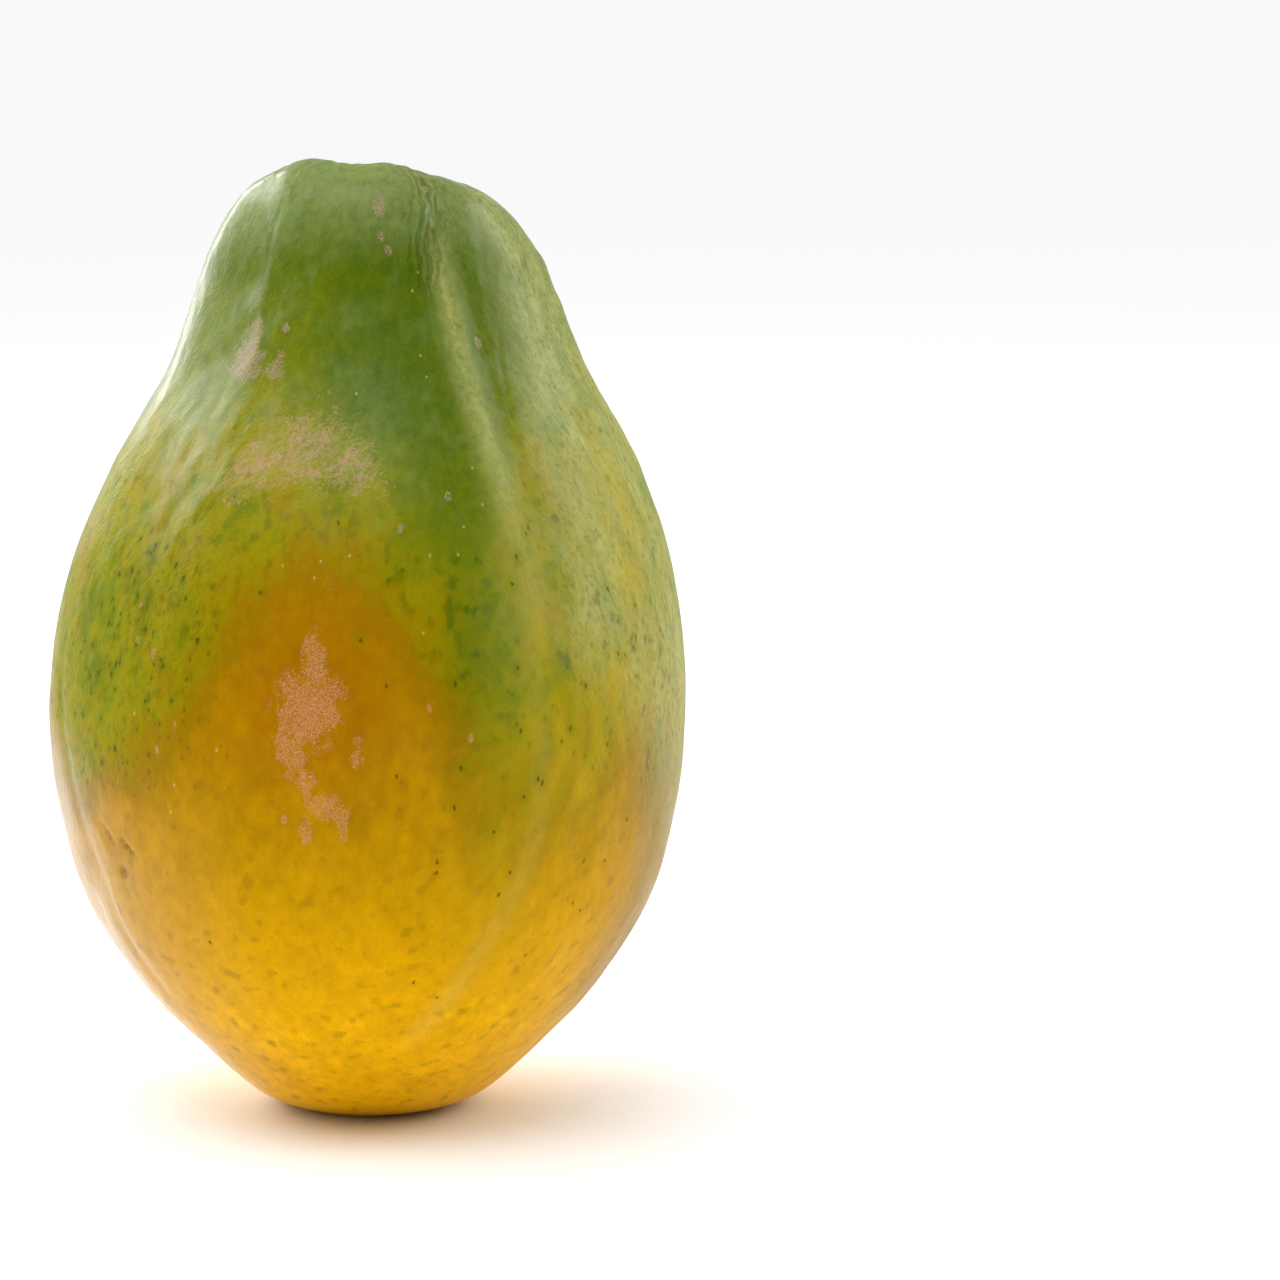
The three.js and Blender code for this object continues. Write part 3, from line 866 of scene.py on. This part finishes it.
# %% A socket that can be added and multiplied
class Wire:
    """One output of a shader node, used in sums like a number."""

    def __init__(self, tree, socket=None):
        self.tree = tree
        self.socket = socket

    def node(self, kind, settings=None, inputs=None, out=0):
        """Adds a node of a kind, applies its settings, feeds its inputs and gives one output."""
        made = self.tree.nodes.new(kind)
        for name, value in (settings or {}).items():
            if name == "stops":
                lay_stops(made.color_ramp, value)
            else:
                setattr(made, name, value)
        for name, value in (inputs or {}).items():
            if isinstance(value, Wire):
                self.tree.links.new(value.socket, made.inputs[name])
            else:
                made.inputs[name].default_value = value
        return Wire(self.tree, made.outputs[out] if len(made.outputs) else None)

    def other(self, out):
        """Another output of the same node."""
        return Wire(self.tree, self.socket.node.outputs[out])

    def maths(self, operation, *values):
        """Adds a Math node over sockets or numbers."""
        return self.node("ShaderNodeMath", {"operation": operation}, dict(enumerate(values)))

    def __add__(self, other):
        return self.maths("ADD", self, other)

    def __radd__(self, other):
        return self.maths("ADD", other, self)

    def __sub__(self, other):
        return self.maths("SUBTRACT", self, other)

    def __rsub__(self, other):
        return self.maths("SUBTRACT", other, self)

    def __mul__(self, other):
        return self.maths("MULTIPLY", self, other)

    def __rmul__(self, other):
        return self.maths("MULTIPLY", other, self)

    def between(self, low, high):
        """Rises smoothly from 0 at low to 1 at high, or falls where low is the larger."""
        inputs = {"Value": self, "From Min": low, "From Max": high}
        return self.node("ShaderNodeMapRange", {"interpolation_type": "SMOOTHSTEP"}, inputs)


wire_methods = [name for name in vars(Wire) if callable(getattr(Wire, name))]
print("a wire has", len(wire_methods), "methods")

# %% Ramps, screen colours and mixing
def lay_stops(ramp, stops):
    """Sets a ramp's stops to (place, colour) pairs."""
    while len(ramp.elements) > 1:
        ramp.elements.remove(ramp.elements[0])
    ramp.elements[0].position, ramp.elements[0].color = stops[0]
    for place, colour in stops[1:]:
        ramp.elements.new(place).color = colour


def paint(hexed):
    """A screen colour such as #e0a60c as the linear light that a shader works in: a share for
    the darkest, and a power of 2.4 above them."""
    screen = np.array([int(hexed[i : i + 2], 16) for i in (1, 3, 5)]) / 255
    linear = np.where(screen <= 0.04045, screen / 12.92, ((screen + 0.055) / 1.055) ** 2.4)
    return (*map(float, linear), 1.0)


MIX_A, MIX_B, MIX_COLOUR = 6, 7, 2  # the colour sockets of a Mix node


def mix(mask, below, above):
    """The colour below where the mask is 0, and the one above where it is 1."""
    inputs = {0: mask, MIX_A: below, MIX_B: above}
    return mask.node("ShaderNodeMix", {"data_type": "RGBA"}, inputs, out=MIX_COLOUR)


print("#808080 is", round(paint("#808080")[0], 3), "of full light")

# %% Noise and cell textures
MIDDLE = 0.5  # what noise is around


def noise(where, size, detail=3, roughness=0.5):
    """Noise from 0 to 1 whose blotches are about size across."""
    inputs = {"Vector": where, "Scale": 1 / size, "Detail": detail, "Roughness": roughness}
    return where.node("ShaderNodeTexNoise", {}, inputs)


def specks(where, spacing):
    """How far it is to the nearest point of a cell texture, and that cell's random number."""
    cells = {"Vector": where, "Scale": 1 / spacing, "Randomness": 1}
    distance = where.node("ShaderNodeTexVoronoi", {}, cells, out="Distance")
    number = where.node("ShaderNodeSeparateColor", {}, {"Color": distance.other("Color")})
    return distance * spacing, number


def web(where, size, thick):
    """A net of fine threads: noise crosses its middle along curves, and the threads lie there."""
    off = noise(where, size, detail=1) - MIDDLE
    return off.maths("ABSOLUTE", off).between(thick, thick * 0.2)


print("noise is around", MIDDLE)

# %% Distances to listed marks
NEVER_NEAREST = 99  # mm, added for the points in the cavity
SPOT_SHAPE = np.array([1, 1, 0.65])  # spots are taller than wide


def on_skin(angle, height):
    """The place of the skin at an angle and a height: the nearest point of the grid, outside
    the cavity."""
    far = np.abs(across_from(angle)) + np.abs(height_mm - height) + NEVER_NEAREST * (in_cavity > 0)
    return skin[np.unravel_index(far.argmin(), shape)]


def off_nearest(where, spots):
    """How far it is to the nearest of some spots, given by angle and height."""
    nearest = None
    for spot_place in spots:
        centre = tuple(map(float, on_skin(*spot_place) * SPOT_SHAPE))
        ends = {0: where, 1: centre}
        off = where.node("ShaderNodeVectorMath", {"operation": "DISTANCE"}, ends, out="Value")
        nearest = off if nearest is None else off.maths("MINIMUM", nearest, off)
    return nearest


print("the skin at the front, 90 mm up, in mm:", on_skin(0, 90).round(1))

# %% Stretched and folded places
def stretched(where, along, lean=0):
    """The place for a pattern stretched up the fruit: turned so its long way leans to the right
    by some degrees, then divided by the stretch."""
    settings = {"vector_type": "TEXTURE"}
    inputs = {"Vector": where, "Rotation": (0, radians(lean), 0), "Scale": (1, 1, along)}
    return where.node("ShaderNodeMapping", settings, inputs)


def folded(where):
    """The place with the left laid over the right, so a pattern's lean mirrors across the front."""
    apart = where.node("ShaderNodeSeparateXYZ", {}, {"Vector": where})
    place = {"X": apart.maths("ABSOLUTE", apart), "Y": apart.other("Y"), "Z": apart.other("Z")}
    return where.node("ShaderNodeCombineXYZ", {}, place)


print("wrinkles lean by", WRINKLE_LEAN, "degrees in the mesh and in the material")

# %% [markdown]
# ## The ripe skin
# Green, olive, amber and gold are one ramp over the ripeness, broken up by blotches and by
# flecks that are longer up the fruit. Over it lie the blush, the pale bloom with its painted sheen
# and highlights, painted shade in the furrows, gouges and crease, the scuffs, the russet, the
# pores and the cork.

# %% Colours of the skin
GOLDEN = 1.25  # the ripeness at the end of the ramp
RIPENING_COLOURS = [  # ripeness, colour
    (0, "#4a620a"), (0.15, "#566c0c"), (0.29, "#66740c"), (0.45, "#788008"), (0.58, "#908a06"),
    (0.75, "#948202"), (0.9, "#967402"), (1, "#ae8202"), (1.1, "#cc9802"), (1.2, "#e6ac00"),
    (GOLDEN, "#fcc000"),
]
BLUSH = paint("#a86400")
# a pale bloom colour that also carries the painted sheen and highlights
BLOOM_AND_SHEEN = paint("#b8b870")
SAGE = paint("#7a9256")
FLUSH_GREEN = paint("#6c8006")
OLIVE_SPECK = paint("#8a6a0c")
DEEP_GREEN = paint("#4c6404")
SUNNY = paint("#bca014")
# the dull tan carries painted shade, and the pale grey a painted reflection
DULL_TAN_AND_SHADE, GREY_AND_REFLECTION = paint("#7e683c"), paint("#9e968a")
SCUFF_GREEN, SCUFF_RIPE = paint("#ac8e78"), paint("#cc8e60")
RUSSET, RUSSET_PALE = paint("#bc8e78"), paint("#aea454")
PORE, RIPE_PORE, SPOT_BROWN, STAIN = paint("#38360a"), paint("#80561c"), paint("#5c3010"), paint("#605a3c")
PALE_DOT = paint("#ccb880")
CREASE_SHADE, CREASE_RUST, GOUGE_SHADE = paint("#2c4410"), paint("#7c5a34"), paint("#845410")
CORK, CORK_DARK = paint("#a88858"), paint("#4a3820")
print("the ripening ramp has", len(RIPENING_COLOURS), "colours")

# %% [markdown]
# ## Spots, pores and scabs
# Ripe skin is dotted with brown spots, dark pores in green halos, stains, pale dots and small
# scabs. They could be painted on a picture that wraps the fruit, but a picture blurs close up.
# Here the ones that show are listed by place, and the material colours what is near one. The
# many small pores come from a cell texture instead, because a list of them would be endless.

# %% Marks that lie where they fell, by angle and height
BROWN_SPOTS = [
    (36.1, 108.4), (35.3, 107), (31.7, 103.3), (29.7, 98.8), (55.6, 96.5), (29.9, 74.7), (33.3, 66.8),
    (34.9, 65.5), (31, 63.8), (18.1, 63.1), (25.4, 58.2), (29.2, 50), (27.1, 46.8), (7.1, 68.4),
    (18.1, 83.1), (5.6, 83.7), (46.7, 50.3), (53.7, 49.9), (58.7, 55.9), (63.8, 92.9), (55.7, 85.1),
    (-19, 97.9), (-4.9, 109.8), (1.3, 90.9), (14.7, 53), (14.8, 51.8), (18.8, 69.6), (48.7, 41.6),
    (46, 42.6), (36.6, 34.5), (17.6, 28), (12.3, 31), (-29, 38), (112, 70), (131, 52), (140, 88),
    (158, 60), (176, 84), (190, 46), (214, 66), (232, 92), (250, 50), (262, 74),
]
GREEN_PORES = [
    (-45.5, 104.8), (-41.9, 104.9), (-38.1, 101.7), (-35.8, 100), (-30.1, 89.9), (-36.4, 85.8),
    (-54.6, 99), (-50.7, 99.8), (-57.3, 93.5), (-53.2, 91.2), (-38.6, 65), (-38.7, 67.5), (-46.7, 70.1),
    (-38.9, 70.7), (-51, 67.2), (-30.4, 72.6), (-22.1, 71.6), (-56, 81.2), (-53.1, 82.1), (-48.3, 84.5),
]
STAINS = [
    (50.3, 94.7), (51.8, 94.3), (55.3, 92), (57.4, 91.3), (60.4, 87.6), (61.3, 85.4), (71.2, 84.4),
    (41.1, 85.4), (39.6, 86), (44.9, 109.2), (56.1, 105.5), (51.8, 87.1), (63, 62.6), (50.5, 67.1),
    (64.5, 66.6), (64.5, 64.8), (75.4, 78.6), (63, 75.3), (104, 82), (118, 66), (150, 104), (200, 98),
    (222, 58),
]
PALE_DOTS = [
    (-33.6, 60.3), (-33.2, 65.2), (-24.3, 71.8), (-42.1, 77), (-15, 102.5), (-8.7, 100.7),
    (-7.8, 103.7), (-1.5, 104.8), (12.4, 92.3), (13.7, 104.4), (19.6, 104.6), (21.9, 108.7),
    (19.7, 149.7), (17, 147), (28.3, 143), (28.8, 140.7), (16.8, 137), (17.4, 133.4), (25.5, 118),
    (26.4, 112), (-3.2, 130.6),
]
SCABS = [
    (-39.6, 87.5), (-45.1, 95.1), (-43.7, 88.7), (-32.7, 76.3), (-36.2, 70.8), (-12.2, 60.4),
    (-43.2, 46.2), (8.8, 108.7), (13, 80), (20.7, 74.3), (18.4, 114.4), (-26.3, 141), (6.8, 154.8),
    (9.8, 153), (37.2, 138.6),
]
print(len(BROWN_SPOTS), "brown spots,", len(GREEN_PORES), "pores and", len(STAINS), "stains")
print(len(PALE_DOTS), "pale dots and", len(SCABS), "scabs")

# %% The skin's own colour
LIVELY = 0.42  # how much more the flecks shift the colour where the skin is green
RIPE_LIVELY = 0.16
LONG = 1.5  # how far flecks and pores stretch


def ripening_skin(mm, field, flecks, grain, crepe):
    """The skin's colour: the ramp over ripeness plus flecks, then the tints, most of them broken up
    by flecks. Fine crepe strokes the bloom paler on its ridges, a painted highlight, and darkens
    its furrows with painted shade."""
    ripe, patch = field["ripe"], field["patch"]
    lively = ripe.between(1, 0.8) * LIVELY + RIPE_LIVELY
    stops = [(ripeness / GOLDEN, paint(hexed)) for ripeness, hexed in RIPENING_COLOURS]
    shade = (ripe + flecks * lively + grain * lively * 0.45) * (1 / GOLDEN)
    colour = mm.node("ShaderNodeValToRGB", {"stops": stops}, {"Fac": shade})
    colour = mix(field["blush"] * (0.85 + patch), colour, BLUSH)
    olive = (flecks * 0.9 + patch).between(0.06, 0.4) * ripe.between(0.75, 1)
    colour = mix(olive * 0.44, colour, OLIVE_SPECK)
    deep = (flecks + patch * 0.6).between(-0.04, 0.26)
    deep = deep * ripe.between(0.86, 0.7) * ripe.between(0.3, 0.5)
    colour = mix(deep * 0.45 + field["deep"] * (0.9 + flecks), colour, DEEP_GREEN)
    # painted shade: the low right flank is darkened towards a dull tan
    colour = mix(field["dull"], colour, DULL_TAN_AND_SHADE)
    # painted reflection: the low left flank is paled towards grey, as if white surroundings were mirrored
    # at the edge
    colour = mix(field["grey"] * (0.9 + flecks), colour, GREY_AND_REFLECTION)
    strokes = crepe - MIDDLE
    # pale bloom with a painted sheen and highlights, paler on the crepe's ridges as a painted highlight
    colour = mix(field["chalk"] * (0.68 + strokes * 1.3 + flecks * 0.5), colour, BLOOM_AND_SHEEN)
    colour = mix(field["sage"] * (0.56 + flecks * 1.8), colour, SAGE)
    colour = mix(field["sunny"] * (0.8 + flecks * 1.2), colour, SUNNY)
    # painted shade: the skin is darker in the crepe's furrows, where its bump is lowest
    furrows = strokes.between(-0.06, -0.2) * field["leather"]
    return mix(furrows * 0.34, colour, DEEP_GREEN)


livelier = (LIVELY + RIPE_LIVELY) / RIPE_LIVELY
print("flecks shift the colour", round(livelier, 1), "times as much where the skin is green")

# %% Spots, stains, pores and pale dots
PORE_SPACING = 1.6


def speckled(mm, field, colour, flecks, grain):
    """Brown spots, stains, pores in their green halos and pale dots over the skin's colour. The
    small pores are cells of a texture, chosen by each cell's random number. Also gives the place
    that distances are measured at, and how ragged they are."""
    shaped = mm.node("ShaderNodeVectorMath", {"operation": "MULTIPLY"}, {0: mm, 1: tuple(SPOT_SHAPE)})
    ragged = grain * 0.9
    ripe = field["ripe"]
    brown = off_nearest(shaped, BROWN_SPOTS) + ragged
    colour = mix(brown.between(1.8, 0.5) * ripe.between(1.15, 0.85) * 0.26, colour, FLUSH_GREEN)
    stained = (off_nearest(shaped, STAINS) + flecks * 3 + ragged * 1.4).between(0.8, 0.25)
    colour = mix(stained * 0.45, colour, STAIN)

    near, drawn = specks(stretched(mm, LONG), PORE_SPACING)
    chosen = drawn.between(0.9, 0.86) * (field["pore"] + field["patch"] + flecks).between(0.15, 0.7)
    big = off_nearest(shaped, GREEN_PORES) + ragged
    small_pores = (near + grain * 0.3).between(0.38, 0.18) * chosen
    pores = big.maths("MAXIMUM", small_pores, big.between(0.48, 0.24))
    halo = big.maths("MAXIMUM", near.between(1, 0.3) * chosen, big.between(1.4, 0.4))
    colour = mix(halo * ripe.between(0.95, 0.75) * 0.3, colour, DEEP_GREEN)
    faint = ripe.between(0.8, 1.05) * 0.34
    colour = mix(pores * (0.64 - faint), colour, mix(ripe.between(0.75, 0.95), PORE, RIPE_PORE))
    colour = mix(brown.between(0.38, 0.16) * 0.76, colour, SPOT_BROWN)
    dots = (off_nearest(shaped, PALE_DOTS) + ragged * 0.5).between(0.3, 0.1)
    return mix(dots * 0.5, colour, PALE_DOT), shaped, ragged


skin_area = sum(face.area for face in papaya.data.polygons) / MM**2
print("cells for pores on the skin:", round(skin_area / PORE_SPACING**2))

# %% [markdown]
# ## Cork over the skin
# Healed skin is covered with cork, in cracked flakes: pinkish in the russet, tan in the scuffs.
# The flakes could be small pieces of mesh, but they are finer than the gaps of this mesh, so
# they are masks: the attribute that says how thick the cork is, plus noise for the flakes and a
# net of threads for the cracks, cut off at a level.

# %% Russet, scuffs and the crease's painted shade
SHORT = 1.6  # how far russet stretches
MARK_LEAN = 52  # degrees: russet runs down to the left
LACE_SIZE, LACE_THREAD = 0.32, 0.13  # the net of cracks in cork


def russet_over(mm, field, colour, grain, lace):
    """Pale strokes, then cracked islands of russet, both where the field is thick. Also gives
    the russet's mask."""
    strokes = noise(stretched(mm, 5, MARK_LEAN), LACE_SIZE, detail=2, roughness=0.6) - MIDDLE
    colour = mix((field["russet"] + strokes * 2.4).between(0.6, 1.1) * 0.4, colour, RUSSET_PALE)
    islands = noise(stretched(mm, SHORT, MARK_LEAN), 2.6, detail=5, roughness=0.8) - MIDDLE
    russet = (field["russet"] * 0.4 + islands * 1.5 + grain * 0.5 + lace * 0.16).between(0.4, 0.66)
    return mix(russet * (0.2 + lace * 0.6 + grain), colour, RUSSET), russet


def marked_skin(mm, field, colour, flecks, grain, folds):
    """Specks, russet, scuffs, painted shade in the gouges and in the crease's folds, and rust in the
    crease, over the skin's colour. Also gives the masks of scuffs and russet."""
    colour, shaped, ragged = speckled(mm, field, colour, flecks, grain)
    lace = web(mm, LACE_SIZE, LACE_THREAD)
    colour, russet = russet_over(mm, field, colour, grain, lace)

    scabs = (off_nearest(shaped, SCABS) + flecks * 2.4 + ragged).between(0.85, 0.3)
    thick = field["scuff"].maths("MAXIMUM", field["scuff"], scabs * 0.62)
    scuff = thick + field["patch"] * 0.8 + flecks * 1.2 + grain * 0.6 + (lace - 0.6) * 0.5
    scuff = scuff.between(0.42, 0.6) * (0.1 + lace * 0.7 + grain * 0.7) * thick.between(0.1, 0.3)
    scuff_colour = mix(field["ripe"].between(0.5, 0.85), SCUFF_GREEN, SCUFF_RIPE)
    colour = mix(scuff * 1.05, colour, scuff_colour)
    # painted shade: the crease is darker in the valleys of its folds
    colour = mix(field["crease"] * folds.between(0.7, 1) * (0.3 + flecks * 2), colour, CREASE_SHADE)
    # painted shade: the gouges are darker where they are deepest
    colour = mix(field["gouge"].between(0.15, 1) * 0.6, colour, GOUGE_SHADE)
    rust = (field["crease"] + flecks * 2 + field["patch"]).between(1.1, 1.5)
    return mix(rust * 0.5, colour, CREASE_RUST), scuff, russet


print("cracks in cork are about", LACE_SIZE, "mm apart")

# %% [markdown]
# ## Gloss and fine bump
# A papaya's skin is waxy: it mirrors faintly at the front and strongly where it curves away.
# Cork is dull. The wax could be a lower roughness, but then the skin under it would shine just
# as sharply, so it is the shader's coat, smoother than what is under it. Bump carries only what
# is finer than the mesh: short wrinkles, dimples, grain and the crease's finest folds.

# %% The skin's material
FLECK_SIZE, GRAIN_SIZE, CREPE_SIZE, DIMPLE_SIZE = 1.9, 0.5, 1.1, 2.4
FOLD_PHASE = 3.6  # radians for each mm across: a fold every 1.7 mm
RING_PHASE = 1.7  # a ring every 3.7 mm
RING_MIDDLE = (4.4, 2.2)
SKIN_ROUGHNESS, SKIN_IOR, FACE_ON_SHINE = 0.36, 1.42, 0.06
FACE_ON_TINT = (0.85, 0.85, 0.04, 1)  # what the skin mirrors straight on: it mirrors white at the edges
WAX_ROUGHNESS, WAX_IOR = 0.23, 1.4


def scar_rings(start, field, flecks, grain):
    """The cork's colour: rings as a sine of the scar's radius, broken up, round a dark middle."""
    rings = field["scar_radius"] * (1 / MM) + flecks * 3 + field["patch"] * 4
    ringed = start.maths("SINE", rings * RING_PHASE) * 0.3 + 0.3
    dark = ringed + grain * 0.9 + flecks * 0.8 + rings.between(*RING_MIDDLE) * 0.35
    return mix(dark, CORK, CORK_DARK)


def papaya_skin():
    """One Principled shader: colour, roughness, bump and wax vary, all else is set on its
    sockets. The bump's height is a sum of crepe, dimples and grain, less the crease's folds."""
    material = bpy.data.materials.new("papaya_skin")
    material.use_nodes = True
    tree = material.node_tree
    tree.nodes.clear()
    start = Wire(tree)
    place = start.node("ShaderNodeTexCoord", out="Object")
    mm = start.node("ShaderNodeVectorMath", {"operation": "SCALE"}, {0: place, "Scale": 1 / MM})
    field = {}
    for name in fields:
        field[name] = start.node("ShaderNodeAttribute", {"attribute_name": name}, out="Fac")

    flecks = noise(stretched(mm, LONG), FLECK_SIZE, detail=4, roughness=0.62) - MIDDLE
    grain = noise(mm, GRAIN_SIZE, detail=2, roughness=0.6) - MIDDLE
    crepe = noise(stretched(folded(mm), 1.4, -WRINKLE_LEAN), CREPE_SIZE, detail=3, roughness=0.7)
    dimples = noise(mm, DIMPLE_SIZE, detail=1)
    colour = ripening_skin(mm, field, flecks, grain, crepe)
    across = field["off_crease"] + flecks * 1.8 + field["patch"] * 2
    folds = start.maths("SINE", across * FOLD_PHASE).between(0.2, -0.9)
    colour, scuff, russet = marked_skin(mm, field, colour, flecks, grain, folds)
    colour = mix(field["cork"], colour, scar_rings(start, field, flecks, grain))

    leather = 0.15 + field["leather"] * 0.85
    cork_grain = (field["scuff"] + field["cork"]) * 0.14 + field["leather"] * 0.1 + 0.05
    height = crepe * leather * 0.7 + dimples * 0.16 + grain * cork_grain - folds * field["crease"] * 0.36
    normal = start.node("ShaderNodeBump", {}, {"Strength": 1.0, "Distance": MM, "Height": height})

    dull = scuff * 0.3 + russet * 0.16 + field["cork"] * 0.4 + field["chalk"] * 0.12
    roughness = SKIN_ROUGHNESS + dull + (dimples - MIDDLE) * 0.2
    inputs = {"Base Color": colour, "Roughness": roughness, "Normal": normal}
    inputs |= {"IOR": SKIN_IOR, "Specular IOR Level": FACE_ON_SHINE, "Specular Tint": FACE_ON_TINT}
    inputs |= {"Coat Weight": field["gloss"], "Coat Roughness": WAX_ROUGHNESS, "Coat IOR": WAX_IOR}
    shader = start.node("ShaderNodeBsdfPrincipled", {}, inputs)
    start.node("ShaderNodeOutputMaterial", {}, {"Surface": shader})
    return material


papaya.data.materials.append(papaya_skin())
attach(papaya, "root")
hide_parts("papaya_fruit")
print("the skin's material has", len(papaya.data.materials[0].node_tree.nodes), "nodes")

# %% [markdown]
# ## The table and the light
# The fruit stands on a pale table that reaches past the frame, in a tent of soft light. The
# tent is open towards the camera, which leaves the front of the skin without a grey haze of
# reflections, so it keeps its deep colour. The tent is the world's own light, brighter the
# further it is from the open side. Softboxes at the left, at the right and above add the broad
# highlights, and a narrow strip behind the left draws the bright line down the neck's edge.

# %% The table
TABLE_SIZE = 80  # metres: its far edge is out of the frame
BOARD_WHITE, BOARD_ROUGHNESS = (0.93, 0.93, 0.93, 1), 0.9


def pale_table():
    """A flat square of pale matt board under the fruit."""
    half = TABLE_SIZE / 2
    corners = [(-half, -half, 0), (half, -half, 0), (half, half, 0), (-half, half, 0)]
    mesh = bpy.data.meshes.new("table")
    mesh.from_pydata(corners, [], [(0, 1, 2, 3)])
    table = bpy.data.objects.new("table", mesh)
    bpy.context.scene.collection.objects.link(table)
    material = bpy.data.materials.new("pale_board")
    material.use_nodes = True
    shader = material.node_tree.nodes["Principled BSDF"]
    shader.inputs["Base Color"].default_value = BOARD_WHITE
    shader.inputs["Roughness"].default_value = BOARD_ROUGHNESS
    shader.inputs["Specular IOR Level"].default_value = 0
    mesh.materials.append(material)
    table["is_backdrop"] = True
    return table


print("the table is", round(pale_table().dimensions.x), "m wide")

# %% The lights
LIGHT_AIM = (0, 0, 0.08)
SOFT_LIGHTS = [  # name, place and size in metres, watts
    ("left_softbox", (-0.80, 0.40, 0.64), (0.85, 0.42), 4.6),
    ("left_strip", (-0.46, 0.87, 0.37), (0.05, 0.46), 1.0),
    ("right_softbox", (0.8, 0.3, 0.5), (0.5, 0.5), 2.8),
    ("top_softbox", (-0.25, -0.5, 1.1), (0.9, 0.6), 5),
]


def soft_light(name, place, size, watts):
    """An area light of a width and a height, turned to face the aim."""
    data = bpy.data.lights.new(name, "AREA")
    data.shape = "RECTANGLE"
    data.size, data.size_y = size
    data.energy = watts
    light = bpy.data.objects.new(name, data)
    light.location = place
    light.rotation_euler = (Vector(place) - Vector(LIGHT_AIM)).to_track_quat("Z", "Y").to_euler()
    bpy.context.scene.collection.objects.link(light)


for soft_light_row in SOFT_LIGHTS:
    soft_light(*soft_light_row)
print("soft lights:", len(SOFT_LIGHTS))

# %% The tent
OPEN_SIDE = (0.26, -0.935, 0.24)
OPEN_LIGHT, TENT_LIGHT, TENT_EDGES = 0.15, 1.35, (0.95, -0.7)
CEILING_LIGHT, CEILING_EDGES = 0.6, (0.45, 0.95)
MIRRORED_LIGHT, MIRRORED_BACK = 0.05, 0.65  # what the wax mirrors of the tent: mostly its far side
MIRRORED_EDGES = (-0.5, -0.95)
SEEN_LIGHT = 1.0


def light_tent():
    """The world's light: a smooth step over the cosine of the angle from the open side, more
    towards the ceiling, and an even white where the camera sees past the table."""
    world = bpy.data.worlds.new("tent")
    world.use_nodes = True
    world.node_tree.nodes.clear()
    start = Wire(world.node_tree)
    towards = start.node("ShaderNodeTexCoord", out="Generated")
    open_side = {"operation": "DOT_PRODUCT"}
    facing = start.node("ShaderNodeVectorMath", open_side, {0: towards, 1: OPEN_SIDE}, out="Value")
    tent = OPEN_LIGHT + facing.between(*TENT_EDGES) * (TENT_LIGHT - OPEN_LIGHT)
    height = start.node("ShaderNodeSeparateXYZ", {}, {"Vector": towards}, out="Z")
    tent = tent + height.between(*CEILING_EDGES) * CEILING_LIGHT
    seen = start.node("ShaderNodeLightPath", out="Is Camera Ray")
    mirrored = seen.other("Is Glossy Ray")
    far_side = facing.between(*MIRRORED_EDGES) * MIRRORED_BACK + MIRRORED_LIGHT
    strength = (tent * (1 - mirrored) + far_side * mirrored) * (1 - seen) + seen * SEEN_LIGHT
    light = start.node("ShaderNodeBackground", {}, {"Color": (1, 1, 1, 1), "Strength": strength})
    start.node("ShaderNodeOutputWorld", {}, {"Surface": light})
    bpy.context.scene.world = world


light_tent()
bpy.context.scene.view_settings.view_transform = "Standard"
print("the tent's light:", OPEN_LIGHT, "at the open side and", TENT_LIGHT, "at the back")

# %% [markdown]
# ## The size
# The finer skin has to stay in the solid's box. Both boxes are gathered, and the finished one is printed.

# %% Both boxes
boxes = {"cad": [list(c) for c in solid_box], "visual": [list(c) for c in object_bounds()]}
finished_box = [[round(c, 4) for c in corner] for corner in boxes["visual"]]
print("the finished fruit's box, in metres:", finished_box)
